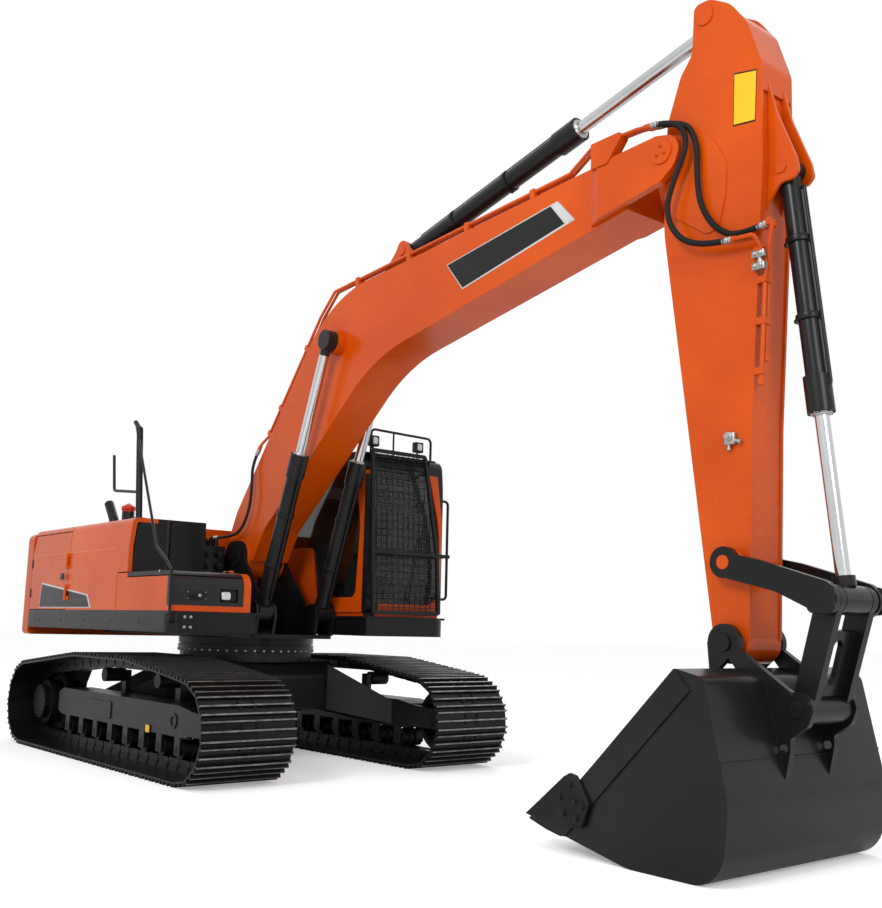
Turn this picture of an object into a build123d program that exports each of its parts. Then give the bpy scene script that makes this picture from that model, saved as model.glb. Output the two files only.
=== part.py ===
"""Crawler excavator, 22-tonne class, as separate rigid pieces in millimetres.

+X points to the machine's front, +Y to its left, +Z up. The origin is on the ground, on the slew axis.
"""
from build123d import *
from math import asin, atan2, cos, hypot, pi, sin, tan
import os

os.makedirs("parts", exist_ok=True)

# ---- driving dimensions: undercarriage -------------------------------------------------------
TRACK_GAUGE = 2200.0        # between the two tracks' centre lines
SHOE_WIDTH = 800.0
LINK_PITCH = 190.0          # from one chain pin to the next
IDLER_X = 1690.0
SPROCKET_X = -1770.0
TRACK_TIP_RADIUS = 404.0    # from a wheel's centre to the grouser tips
GROUSER_HEIGHT = 26.0
SHOE_PLATE = 14.0
LINK_HEIGHT = 92.0          # from the rail to the shoe plate's underside
CHAIN_HALF_INNER = 45.0     # between the two link rails, half
CHAIN_HALF_OUTER = 84.0
TOP_RISE = 122.0            # how far carrier rollers lift the top run above the wheels
CARRIER_X = (-480.0, 640.0)
TRACK_ROLLERS = 8
RUNNING_GAP = 0.3

FRAME_HALF_WIDTH = 140.0    # half a track frame's box beam
FRAME_TOP = 560.0
FRAME_BOTTOM = 312.0
CAR_BODY_HALF_LENGTH = 640.0
CAR_BODY_BOTTOM = 450.0
CAR_BODY_TOP = 880.0
SLEW_RADIUS = 640.0
SLEW_SEAT_TOP = 960.0

# ---- driving dimensions: upper structure -----------------------------------------------------
UPPER_HALF_WIDTH = 1355.0
DECK_BOTTOM = 1095.0        # underside of the centre frame
SKIRT_BOTTOM = 1135.0
SKIRT_TOP = 1310.0
SKIRT_WALL = 12.0
SKIRT_CORNER = 90.0         # plan radius of the skirt's front right corner
SKIRT_INNER_Y = 560.0
DECK_PLATE = 20.0
ROLL_START = 2066.0         # where the flank starts to roll into the top deck
TAIL_RADIUS = 2750.0
COUNTERWEIGHT_DEPTH = 585.0
COUNTERWEIGHT_FRONT = COUNTERWEIGHT_DEPTH - TAIL_RADIUS
COUNTERWEIGHT_BOTTOM = 1060.0
LIFT_HOLE_INSET = 300.0     # from the tail's end to the lifting holes
LIFT_HOLE_Y = 520.0
LIFT_HOLE_RADIUS = 28.0
HOOD_TOP = 2130.0
PANEL_WALL = 40.0
PANEL_GAP = 9.0             # seam between a door or lid and the panel beside it
DOOR_SEAM_X = -1150.0
BULKHEAD_X = -340.0         # wall between the engine bay and the boom's towers
TANK_FRONT_X = 255.0
WING_REAR_X = 40.0          # where the tool box's side skin ends under the flank panel
TOOL_BOX_FRONT_X = 1130.0
TOOL_BOX_TOP = 1640.0
RIGHT_BAY_INNER_Y = -620.0
TOWER_INNER = 206.0         # inner faces of the two plates that hold the boom's foot
TOWER_PLATE = 28.0

CAB_INNER_Y = 425.0
CAB_REAR_X = -330.0
CAB_FRONT_X = 1375.0
CAB_BOTTOM = 1345.0
CAB_TOP = 2840.0
CAB_WALL = 50.0
CAB_CORNER = 150.0          # plan radius of the cab's front left corner
GLASS_THICKNESS = 8.0
GLASS_GAP = 0.3

# ---- driving dimensions: pivots (x, z) and half-widths of the working arm ------------------------
BOOM_FOOT = (120.0, 1830.0)
BOOM_TIP = (5285.0, 4180.0)
BOOM_ROD_PIN = (1690.0, 3650.0)
BOOM_BASE_PIN = (795.0, 1330.0)
ARM_BASE_PIN = (2450.0, 4310.0)
ARM_ROD_PIN = (5560.0, 5010.0)
BUCKET_BASE_PIN = (6020.0, 3890.0)
ROCKER_PIN = (5680.0, 1625.0)
LINK_TOP_PIN = (6285.0, 1421.0)
LINK_LOW_PIN = (6116.0, 850.0)
BUCKET_PIN = (5668.0, 1181.0)

BOOM_HALF = 190.0
BOOM_WALL = 16.0
FORK_INNER = 196.0
FORK_OUTER = 246.0
BOOM_CYLINDER_Y = 311.0
BOOM_BARREL_RADIUS = 70.0
ARM_HALF = 155.0
ARM_WALL = 16.0
EAR_INNER = 187.0
EAR_OUTER = 227.0
ROCKER_INNER = 196.0
ROCKER_OUTER = 236.0
LINK_INNER = 132.0
LINK_OUTER = 183.0
PIN_GAP = 6.0
BUCKET_HALF = 745.0
BUCKET_WALL = 22.0
FOOT_PIN = 50.0
TIP_PIN = 52.0
BUCKET_PIN_RADIUS = 48.0
ROCKER_PIN_RADIUS = 40.0
LINK_PIN = 40.0
LIFT_EYE = (6035.0, 648.0)
LIFT_EYE_RADIUS = 24.0
PIPE_RADIUS = 13.0
HOSE_RADIUS = 16.0
SHAFT_GAP = 0.1             # radial clearance of a pin in its bore


# ---- shared form makers ----------------------------------------------------------------------
def flat(rows):
    """Closed face from rows of (first, second, corner radius)."""
    points = [(row[0], row[1]) for row in rows]
    return make_face(FilletPolyline(*points, radius=[row[2] for row in rows], close=True))


def side_plate(rows, y_low, y_high):
    """Solid between two Y planes from a side outline of (x, z, corner radius)."""
    plane = Plane((0, y_high, 0), x_dir=(1, 0, 0), z_dir=(0, -1, 0))
    return extrude(plane * flat(rows), amount=y_high - y_low)


def plan_plate(rows, z_low, z_high):
    """Solid between two heights from a plan outline of (x, y, corner radius)."""
    return extrude(Pos(0, 0, z_low) * flat(rows), amount=z_high - z_low)


def front_plate(rows, x_low, x_high):
    """Solid between two X planes from an outline of (y, z, corner radius)."""
    plane = Plane((x_low, 0, 0), x_dir=(0, 1, 0), z_dir=(1, 0, 0))
    return extrude(plane * flat(rows), amount=x_high - x_low)


def block(x, y, z):
    """Box from three (low, high) pairs."""
    centre = [(low + high) / 2 for low, high in (x, y, z)]
    return Pos(*centre) * Box(x[1] - x[0], y[1] - y[0], z[1] - z[0])


def cross_pin(centre, radius, y_low, y_high):
    """Round bar along Y at a pivot (x, z)."""
    middle = Pos(centre[0], (y_low + y_high) / 2, centre[1])
    return middle * Rot(90, 0, 0) * Cylinder(radius, y_high - y_low)


def bore(centre, radius):
    """Cutter for a hole along Y, right through whatever is there."""
    return cross_pin(centre, radius, -1500, 1500)


def upright(centre, radius, z_low, z_high):
    """Round post from one height to another at (x, y)."""
    return Pos(centre[0], centre[1], (z_low + z_high) / 2) * Cylinder(radius, z_high - z_low)


def bar(start, end, radius):
    """Round bar between two points."""
    start, end = Vector(*start), Vector(*end)
    plane = Plane(origin=start, z_dir=end - start)
    return plane * Cylinder(radius, (end - start).length, align=(Align.CENTER, Align.CENTER, Align.MIN))


def both_sides(solid):
    """The solid and its mirror image across the machine's centre plane."""
    return solid + mirror(solid, Plane.XZ)


def toward(start, end, distance, aside=0.0):
    """Point (x, z) at a distance from start on the line to end, and aside to its right."""
    along_x, along_z = end[0] - start[0], end[1] - start[1]
    length = hypot(along_x, along_z)
    along_x, along_z = along_x / length, along_z / length
    return (start[0] + along_x * distance + along_z * aside, start[1] + along_z * distance - along_x * aside)


def toward_point(start, end, distance):
    """Point (x, y, z) at a distance from start on the line to end."""
    step = Vector(*end) - Vector(*start)
    return tuple(Vector(*start) + step.normalized() * distance)


def pipe(points, radius, bend):
    """Round pipe through (x, y, z) points with one bend radius."""
    path = FilletPolyline(*points, radius=bend) if len(points) > 2 else Line(*points)
    return sweep(Plane(origin=path @ 0, z_dir=path % 0) * Circle(radius), path=path)


def hose(points, radius):
    """Tube of straight runs and tangent arcs, each arc as large as its two runs allow."""
    points = [Vector(*point) for point in points]
    bends = []
    for before, corner, after in zip(points, points[1:], points[2:]):
        into, out = corner - before, after - corner
        turn = into.get_angle(out) * pi / 180
        bends.append(0.45 * min(into.length, out.length) / tan(turn / 2))
    path = FilletPolyline(*points, radius=bends)
    return sweep(Plane(origin=path @ 0, z_dir=path % 0) * Circle(radius), path=path)


HINGE_PIN = 7.0
HINGE_KNUCKLE = 14.0
HINGE_STAND = 16.0
HINGE_LEAF = 60.0


def hinge(origin, toward_lid, axis):
    """Fixed and moving halves of a leaf hinge; the pin stays with the fixed half."""
    frame = Plane(origin=origin, x_dir=toward_lid, z_dir=axis)
    fixed = Cylinder(HINGE_PIN, 150)
    leaf = (-HINGE_STAND, 8 - HINGE_STAND)
    for z in ((-75, -38), (38, 75)):
        fixed += Pos(0, 0, (z[0] + z[1]) / 2) * Cylinder(HINGE_KNUCKLE, z[1] - z[0])
        fixed += block((-HINGE_LEAF, 0), leaf, z)
    moving = Cylinder(HINGE_KNUCKLE, 70) + block((0, HINGE_LEAF), leaf, (-35, 35))
    moving -= Cylinder(HINGE_PIN + RUNNING_GAP, 80)
    return frame * fixed, frame * moving


def hinges(origins, toward_lid, axis):
    """Joined fixed halves and joined moving halves of several hinges on one axis."""
    pairs = [hinge(origin, toward_lid, axis) for origin in origins]
    return [pair[0] for pair in pairs], [pair[1] for pair in pairs]


def grown(rows, amount):
    """Outline moved outwards from its middle by an amount, for a seam or an inner face."""
    middle_x = (min(row[0] for row in rows) + max(row[0] for row in rows)) / 2
    middle_z = (min(row[1] for row in rows) + max(row[1] for row in rows)) / 2
    half_x = (max(row[0] for row in rows) - min(row[0] for row in rows)) / 2
    half_z = (max(row[1] for row in rows) - min(row[1] for row in rows)) / 2
    scale_x, scale_z = 1 + amount / half_x, 1 + amount / half_z
    return [(middle_x + (x - middle_x) * scale_x, middle_z + (z - middle_z) * scale_z, radius)
            for x, z, radius in rows]


def save(solid, name):
    export_step(solid, f"parts/{name}.step")


# ---- undercarriage -----------------------------------------------------------------------------
PLATE_OUTER = TRACK_TIP_RADIUS - GROUSER_HEIGHT
PLATE_INNER = PLATE_OUTER - SHOE_PLATE
RAIL_RADIUS = PLATE_INNER - LINK_HEIGHT
WHEEL_Z = TRACK_TIP_RADIUS
CARRIER_BEND = 420.0
CARRIER_Z = WHEEL_Z + PLATE_OUTER + TOP_RISE - CARRIER_BEND

# The track's bends, counterclockwise seen from the machine's right: x, z, radius to the plates' outer face.
BENDS = [
    (SPROCKET_X, WHEEL_Z, PLATE_OUTER),
    (IDLER_X, WHEEL_Z, PLATE_OUTER),
    (CARRIER_X[1], CARRIER_Z, CARRIER_BEND),
    (CARRIER_X[0], CARRIER_Z, CARRIER_BEND),
]


def run_normals():
    """Outward direction of the straight run that leaves each bend."""
    normals = []
    for i, (x0, z0, r0) in enumerate(BENDS):
        x1, z1, r1 = BENDS[(i + 1) % len(BENDS)]
        heading = atan2(z1 - z0, x1 - x0)
        normals.append(heading - pi / 2 + asin((r0 - r1) / hypot(x1 - x0, z1 - z0)))
    return normals


def belt_stations():
    """Joints between shoes as (x, z, outward direction), evenly spaced round the loop."""
    normals = run_normals()
    spans = []
    for i, (x0, z0, r0) in enumerate(BENDS):
        x1, z1, r1 = BENDS[(i + 1) % len(BENDS)]
        out = normals[i]
        start = (x0 + r0 * cos(out), z0 + r0 * sin(out))
        end = (x1 + r1 * cos(out), z1 + r1 * sin(out))
        spans.append((hypot(end[0] - start[0], end[1] - start[1]), start, end, out, None))
        turn = (normals[(i + 1) % len(BENDS)] - out) % (2 * pi)
        spans.append((turn * r1, (x1, z1), r1, out, turn))
    total = sum(span[0] for span in spans)
    count = round(total / LINK_PITCH)
    stations = []
    for k in range(count):
        left = total * k / count
        for length, start, end, out, turn in spans:
            if left <= length:
                share = left / length
                if turn is None:
                    x = start[0] + (end[0] - start[0]) * share
                    z = start[1] + (end[1] - start[1]) * share
                    stations.append((x, z, out))
                else:
                    angle = out + turn * share
                    stations.append((start[0] + end * cos(angle), start[1] + end * sin(angle), angle))
                break
            left -= length
    return stations


def inset(stations, depth):
    return [(x - depth * cos(out), z - depth * sin(out)) for x, z, out in stations]


# Grouser edges along a shoe: share of the shoe's length, height above the plate.
GROUSERS = [
    (0.06, 0.0), (0.09, 1.0), (0.15, 1.0), (0.19, 0.0),
    (0.42, 0.0), (0.46, 1.0), (0.53, 1.0), (0.57, 0.0),
    (0.80, 0.0), (0.84, 1.0), (0.91, 1.0), (0.94, 0.0),
]


def shoe_outline(stations):
    """Outer edge of the whole loop, three grousers to a shoe."""
    points = []
    for i, (x0, z0, _) in enumerate(stations):
        x1, z1, _ = stations[(i + 1) % len(stations)]
        length = hypot(x1 - x0, z1 - z0)
        out_x, out_z = (z1 - z0) / length, -(x1 - x0) / length
        points.append((x0, z0))
        for share, height in GROUSERS:
            rise = height * GROUSER_HEIGHT
            points.append((x0 + (x1 - x0) * share + out_x * rise, z0 + (z1 - z0) * share + out_z * rise))
    return points


def loop_band(outer, inner, y_low, y_high):
    """Solid band between two closed outlines of (x, z)."""
    plane = Plane((0, y_high, 0), x_dir=(1, 0, 0), z_dir=(0, -1, 0))
    ring = make_face(Polyline(*outer, close=True)) - make_face(Polyline(*inner, close=True))
    return extrude(plane * ring, amount=y_high - y_low)


def track(side):
    stations = belt_stations()
    middle = side * TRACK_GAUGE / 2
    plate_back = inset(stations, SHOE_PLATE)
    rail_back = inset(stations, SHOE_PLATE + LINK_HEIGHT)
    belt = loop_band(shoe_outline(stations), plate_back, middle - SHOE_WIDTH / 2, middle + SHOE_WIDTH / 2)
    for low, high in ((-CHAIN_HALF_OUTER, -CHAIN_HALF_INNER), (CHAIN_HALF_INNER, CHAIN_HALF_OUTER)):
        belt += loop_band(inset(stations, SHOE_PLATE - 1), rail_back, middle + low, middle + high)
    return belt


WHEEL_TREAD = RAIL_RADIUS * cos(LINK_PITCH / PLATE_OUTER / 2) - 2 * RUNNING_GAP
GUIDE_HALF = CHAIN_HALF_INNER - 7
AXLE_RADIUS = 45.0


def idler(side):
    y = side * TRACK_GAUGE / 2
    centre = (IDLER_X, WHEEL_Z)
    wheel = cross_pin(centre, WHEEL_TREAD, y - CHAIN_HALF_OUTER, y + CHAIN_HALF_OUTER)
    wheel += cross_pin(centre, WHEEL_TREAD + 22, y - GUIDE_HALF, y + GUIDE_HALF)
    for low, high in ((-CHAIN_HALF_OUTER, -GUIDE_HALF + 20), (GUIDE_HALF - 20, CHAIN_HALF_OUTER)):
        dish = cross_pin(centre, WHEEL_TREAD - 45, y + low, y + high)
        wheel -= dish - cross_pin(centre, 95, y + low, y + high)
    return wheel + cross_pin(centre, AXLE_RADIUS, y - FRAME_HALF_WIDTH + 2, y + FRAME_HALF_WIDTH - 2)


SPROCKET_TEETH = 21
DRIVE_RADIUS = 205.0


def sprocket(side):
    """Toothed rim between the rails, bolted to the round final drive that faces outwards."""
    y = side * TRACK_GAUGE / 2
    tip = WHEEL_TREAD + 38
    root = WHEEL_TREAD + 2
    points = []
    for i in range(SPROCKET_TEETH):
        for share, radius in ((0.0, root), (0.22, root), (0.40, tip), (0.62, tip), (0.80, root)):
            angle = 2 * pi * (i + share) / SPROCKET_TEETH
            points.append((SPROCKET_X + radius * cos(angle), WHEEL_Z + radius * sin(angle), 0))
    rim = side_plate(points, y - GUIDE_HALF + 10, y + GUIDE_HALF - 10)
    centre = (SPROCKET_X, WHEEL_Z)
    outer = y + side * 215
    rim += cross_pin(centre, DRIVE_RADIUS, *sorted((y - side * (95 - RUNNING_GAP), y + side * 150)))
    rim += cross_pin(centre, DRIVE_RADIUS - 45, *sorted((y + side * 149, outer)))
    return rim


ROLLER_RADIUS = 78.0
ROLLER_Z = TRACK_TIP_RADIUS - RAIL_RADIUS + ROLLER_RADIUS + RUNNING_GAP
ROLLER_SHAFT = 34.0
ROLLER_X = [-1180 + 2340 * i / (TRACK_ROLLERS - 1) for i in range(TRACK_ROLLERS)]


def track_rollers(side):
    """Rollers under the frame, each a barrel with two guide flanges."""
    y = side * TRACK_GAUGE / 2
    radius, centre_z = ROLLER_RADIUS, ROLLER_Z
    rollers = []
    for x in ROLLER_X:
        roller = cross_pin((x, centre_z), radius, y - 112, y + 112)
        for edge in (-GUIDE_HALF, GUIDE_HALF - 12):
            roller += cross_pin((x, centre_z), radius + 16, y + edge, y + edge + 12)
        roller += cross_pin((x, centre_z), ROLLER_SHAFT, y - FRAME_HALF_WIDTH + 1, y + FRAME_HALF_WIDTH - 1)
        rollers.append(roller)
    return Compound(rollers)


CARRIER_RADIUS = 62.0
CARRIER_SHAFT = 30.0
CARRIER_SHAFT_Z = CARRIER_Z + CARRIER_BEND - SHOE_PLATE - LINK_HEIGHT - CARRIER_RADIUS - 11


def carrier_rollers():
    """Two top rollers a side, each on a post of the track frame."""
    rollers = []
    for side in (-1, 1):
        y = side * TRACK_GAUGE / 2
        for x in CARRIER_X:
            roller = cross_pin((x, CARRIER_SHAFT_Z), CARRIER_RADIUS, y - 96, y + 96)
            shaft = cross_pin((x, CARRIER_SHAFT_Z), CARRIER_SHAFT, *sorted((y - side * 150, y + side * 90)))
            rollers.append(roller + shaft)
    return Compound(rollers)


def track_frame(side):
    """Box beam with the idler's fork at the front and the drive's ring at the rear."""
    y = side * TRACK_GAUGE / 2
    low, high = y - FRAME_HALF_WIDTH, y + FRAME_HALF_WIDTH
    rows = [
        (-1440, 340, 30), (-1330, FRAME_BOTTOM, 60), (1300, FRAME_BOTTOM, 40), (1380, 340, 30),
        (1380, FRAME_TOP - 30, 30), (1150, FRAME_TOP, 40), (-1330, FRAME_TOP, 60),
        (-1440, FRAME_TOP - 40, 30),
    ]
    frame = side_plate(rows, low, high)
    for cheek in (-1, 1):
        inner = y + cheek * (CHAIN_HALF_OUTER + 24)
        outer = y + cheek * FRAME_HALF_WIDTH
        fork_rows = [(1300, 330, 20), (1830, 335, 40), (1830, 500, 60), (1300, 530, 20)]
        fork = side_plate(fork_rows, *sorted((inner, outer)))
        frame += fork - bore((IDLER_X, WHEEL_Z), AXLE_RADIUS + RUNNING_GAP)
    ring_low, ring_high = sorted((y - side * 160, y - side * 95))
    drive = cross_pin((SPROCKET_X, WHEEL_Z), DRIVE_RADIUS, ring_low, ring_high)
    arm_rows = [(-1770, 290, 0), (-1400, 320, 0), (-1400, 520, 0), (-1770, 530, 0)]
    arm = side_plate(arm_rows, ring_low, ring_high)
    frame += drive + arm
    for x in ROLLER_X:
        for edge in (-FRAME_HALF_WIDTH, FRAME_HALF_WIDTH - 22):
            lug = block((x - 48, x + 48), (y + edge, y + edge + 22), (ROLLER_Z - 42, FRAME_BOTTOM + 5))
            frame += lug - bore((x, ROLLER_Z), ROLLER_SHAFT + RUNNING_GAP)
    for x in CARRIER_X:
        post_y = y - side * 125
        post = block((x - 45, x + 45), (post_y - 25, post_y + 25), (FRAME_TOP - 5, CARRIER_SHAFT_Z + 43))
        frame += post - bore((x, CARRIER_SHAFT_Z), CARRIER_SHAFT + 0.2)
    outer_face = sorted((y + side * (FRAME_HALF_WIDTH - 2), y + side * (FRAME_HALF_WIDTH + 10)))
    cover_rows = [(-700, 350, 25), (-160, 350, 25), (-160, 500, 25), (-700, 500, 25)]
    frame += side_plate(cover_rows, *outer_face)
    port = cross_pin((1080, 432), 62, *outer_face)
    return frame + port - cross_pin((1080, 432), 38, *(edge + side * 3 for edge in outer_face))


def car_body():
    """Centre box with four legs that slope down to the track frames, and the slew ring's seat."""
    inner = TRACK_GAUGE / 2 - FRAME_HALF_WIDTH - RUNNING_GAP
    rows = [
        (-CAR_BODY_HALF_LENGTH, CAR_BODY_BOTTOM, 40), (CAR_BODY_HALF_LENGTH, CAR_BODY_BOTTOM, 40),
        (CAR_BODY_HALF_LENGTH, 760, 60), (520, CAR_BODY_TOP, 80), (-520, CAR_BODY_TOP, 80),
        (-CAR_BODY_HALF_LENGTH, 760, 60),
    ]
    body = side_plate(rows, -620, 620)
    leg_plan = [(300, 480, 0), (700, 480, 0), (1080, inner, 0), (560, inner, 0)]
    leg_section = [(480, CAR_BODY_TOP - 20, 0), (inner, FRAME_TOP - 20, 0), (inner, 330, 0),
                   (480, CAR_BODY_BOTTOM, 0)]
    plane = Plane((-1200, 0, 0), x_dir=(0, 1, 0), z_dir=(1, 0, 0))
    leg = plan_plate(leg_plan, 300, 900) & extrude(plane * flat(leg_section), amount=2400)
    leg = leg + mirror(leg, Plane.YZ)
    body += both_sides(leg)
    return body + upright((0, 0), SLEW_RADIUS - 20, CAR_BODY_TOP - 5, SLEW_SEAT_TOP)


def slew_ring():
    """Bearing ring in two races with the grease seal's groove between them."""
    split = (SLEW_SEAT_TOP + DECK_BOTTOM) / 2
    top = DECK_BOTTOM - RUNNING_GAP
    ring = upright((0, 0), SLEW_RADIUS, SLEW_SEAT_TOP, split - 5)
    ring += upright((0, 0), SLEW_RADIUS - 18, split - 6, split + 6)
    ring += upright((0, 0), SLEW_RADIUS - 4, split + 5, top)
    return ring - upright((0, 0), SLEW_RADIUS - 130, SLEW_SEAT_TOP, top)


# ---- upper structure -----------------------------------------------------------------------------
CENTRE_TOP = DECK_BOTTOM + 35
LUG_LOW = BOOM_CYLINDER_Y + BOOM_BARREL_RADIUS + PIN_GAP
LUG_PLATE = 26.0
BOOM_BASE_SHAFT = 45.0


def tower_outline():
    foot_x, foot_z = BOOM_FOOT
    base_x, base_z = BOOM_BASE_PIN
    return [
        (-1500, CENTRE_TOP - 5, 0), (base_x + 60, CENTRE_TOP - 5, 0), (base_x + 95, base_z - 40, 40),
        (base_x + 60, base_z + 95, 60), (base_x - 110, base_z + 60, 60), (foot_x + 175, foot_z - 30, 60),
        (foot_x + 150, foot_z + 165, 110), (foot_x - 150, foot_z + 165, 130), (-300, 1450, 80),
        (-800, 1300, 60), (-1500, 1290, 0),
    ]


def skirt(rows, inner_rows):
    """Upright skirt round one side of the deck, between an outer and an inner plan outline."""
    return plan_plate(rows, SKIRT_BOTTOM, SKIRT_TOP - 2) - plan_plate(inner_rows, 0, SKIRT_TOP)


def revolving_frame():
    """Centre section with the boom's tower plates, deck plates out to both sides and their skirts."""
    rear = COUNTERWEIGHT_FRONT + 5
    centre_rows = [(-2150, -560, 60), (860, -420, 60), (860, 420, 60), (-2150, 560, 60)]
    frame = plan_plate(centre_rows, DECK_BOTTOM, CENTRE_TOP)
    frame += both_sides(side_plate(tower_outline(), TOWER_INNER, TOWER_INNER + TOWER_PLATE))
    base_x, base_z = BOOM_BASE_PIN
    lug = side_plate([
        (640, CENTRE_TOP - 5, 0), (860, CENTRE_TOP - 5, 0), (890, base_z - 40, 40),
        (base_x + 60, base_z + 95, 60), (base_x - 60, base_z + 95, 60), (690, 1260, 20),
    ], LUG_LOW, LUG_LOW + LUG_PLATE)
    shaft = cross_pin(BOOM_BASE_PIN, BOOM_BASE_SHAFT, TOWER_INNER + 2, LUG_LOW + LUG_PLATE + 4)
    frame += both_sides(lug + shaft)
    foot_end = TOWER_INNER + TOWER_PLATE + 14
    frame += cross_pin(BOOM_FOOT, FOOT_PIN, -foot_end, foot_end)
    frame += both_sides(cross_pin(BOOM_FOOT, FOOT_PIN + 34, TOWER_INNER + TOWER_PLATE - 1, foot_end))
    plate = (SKIRT_TOP - DECK_PLATE, SKIRT_TOP)
    inner = TOWER_INNER + TOWER_PLATE - 2
    frame += both_sides(block((rear, 640), (inner, UPPER_HALF_WIDTH - 2), plate))
    frame += block((600, CAB_FRONT_X - 30), (LUG_LOW + 20, UPPER_HALF_WIDTH - 2), plate)
    frame += block((600, TOOL_BOX_FRONT_X - 5), (2 - UPPER_HALF_WIDTH, -LUG_LOW - 20), plate)
    out, lining = UPPER_HALF_WIDTH, UPPER_HALF_WIDTH - SKIRT_WALL
    front, front_lining = TOOL_BOX_FRONT_X, TOOL_BOX_FRONT_X - SKIRT_WALL
    frame += skirt([(rear, -out, 0), (front, -out, SKIRT_CORNER), (front, -SKIRT_INNER_Y, 0),
                    (rear, -SKIRT_INNER_Y, 0)],
                   [(rear - 5, -lining, 0), (front_lining, -lining, SKIRT_CORNER - 10), (front_lining, 0, 0),
                    (rear - 5, 0, 0)])
    front, side = CAB_FRONT_X + 20, LUG_LOW + LUG_PLATE + 15
    frame += skirt([(rear, out, 0), (rear, side, 0), (front, side, 40), (front, out, 160)],
                   [(rear - 5, lining, 0), (rear - 5, side + SKIRT_WALL, 0),
                    (front - SKIRT_WALL, side + SKIRT_WALL, 30), (front - SKIRT_WALL, lining, 150)])
    for x in (-1900, -1000, -200, 500):
        frame += both_sides(block((x - 8, x + 8), (TOWER_INNER + 2, UPPER_HALF_WIDTH - 5),
                                  (SKIRT_BOTTOM + 10, SKIRT_TOP - 5)))
    return frame


def counterweight():
    """Cast tail, round to the tail radius, hollowed at the front for the engine bay."""
    top = HOOD_TOP - 30
    weight = block((-TAIL_RADIUS, COUNTERWEIGHT_FRONT), (-UPPER_HALF_WIDTH, UPPER_HALF_WIDTH),
                   (COUNTERWEIGHT_BOTTOM, top))
    weight = weight & Cylinder(TAIL_RADIUS, 6000)
    weight = fillet(weight.edges().filter_by(Axis.Z).sort_by(Axis.X)[:2], 150)
    for end, radius in ((-1, 70), (0, 45)):
        rim = weight.faces().sort_by(Axis.Z)[end].edges()
        weight = fillet(rim.filter_by(lambda edge: edge.center().X < COUNTERWEIGHT_FRONT - 1), radius)
    weight -= block((COUNTERWEIGHT_FRONT - 190, COUNTERWEIGHT_FRONT + 1), (-1130, 1130), (1260, top - 100))
    for y in (-LIFT_HOLE_Y, LIFT_HOLE_Y):
        weight -= upright((LIFT_HOLE_INSET - TAIL_RADIUS, y), LIFT_HOLE_RADIUS, top - 125, top + 5)
    return weight


CREASE_Z = 1860.0
DECK_TOP = HOOD_TOP - 2
DECK_FLANGE = 260.0         # how far a flank panel's rolled top reaches inwards


def side_wall(rows, side):
    """Side panel between an outline in X and Z and the machine's flank, with its top edge rolled inwards."""
    out, inner = UPPER_HALF_WIDTH, UPPER_HALF_WIDTH - DECK_FLANGE
    section = [
        (out, SKIRT_TOP + RUNNING_GAP, 0), (out, CREASE_Z, 900), (out - 25, DECK_TOP, 60),
        (inner, DECK_TOP, 0), (inner, DECK_TOP - PANEL_WALL, 0),
        (out - 25 - PANEL_WALL, DECK_TOP - PANEL_WALL, 25),
        (out - PANEL_WALL, CREASE_Z, 860), (out - PANEL_WALL, SKIRT_TOP + RUNNING_GAP, 0),
    ]
    x_low = min(row[0] for row in rows)
    x_high = max(row[0] for row in rows)
    plane = Plane((x_low, 0, 0), x_dir=(0, 1, 0), z_dir=(1, 0, 0))
    wall = extrude(plane * flat(section), amount=x_high - x_low)
    wall = wall & side_plate(rows, inner - 100, out + 10)
    return wall if side > 0 else mirror(wall, Plane.XZ)


def long_panel(x_low, x_high, side, z_low=SKIRT_TOP, z_high=HOOD_TOP + 10):
    return side_wall([(x_low, z_low, 0), (x_high, z_low, 0), (x_high, z_high, 0), (x_low, z_high, 0)], side)


REAR_PANEL_X = COUNTERWEIGHT_FRONT + PANEL_GAP
HINGE_HEIGHTS = (1480.0, 1780.0)
LOUVRE_COLUMNS, LOUVRE_ROWS = 3, 5


def side_door(side):
    """Service door behind the seam, hinged at its front edge, and the fixed halves of its hinges."""
    door = long_panel(REAR_PANEL_X, DOOR_SEAM_X - PANEL_GAP / 2, side, SKIRT_TOP + 6, ROLL_START)
    origins = [(DOOR_SEAM_X, side * (UPPER_HALF_WIDTH + HINGE_STAND - 1), z) for z in HINGE_HEIGHTS]
    fixed, moving = hinges(origins, (-1, 0, 0), (0, 0, -side))
    for half in moving:
        door += half
    return door, fixed


def left_side_door():
    """The cooler's door, with air louvres pressed into its skin."""
    door = side_door(1)[0]
    face = Plane((-1690, UPPER_HALF_WIDTH, 1600), x_dir=(1, 0, 0), z_dir=(0, 1, 0))
    for spot in GridLocations(260, 70, LOUVRE_COLUMNS, LOUVRE_ROWS):
        door -= extrude(face * spot * SlotOverall(210, 26), amount=10, both=True)
    return door


HOOD_REAR_X = COUNTERWEIGHT_FRONT + 45
HOOD_FRONT_X = -1020.0
HOOD_HALF = 700.0
HOOD_HINGE_Y = 450.0
HOOD_AXIS = (HOOD_FRONT_X + 20, DECK_TOP + HINGE_STAND - 1)
HOOD_ORIGINS = [(HOOD_AXIS[0], y, HOOD_AXIS[1]) for y in (-HOOD_HINGE_Y, HOOD_HINGE_Y)]
HOOD_HINGES = hinges(HOOD_ORIGINS, (-1, 0, 0), (0, 1, 0))


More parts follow.
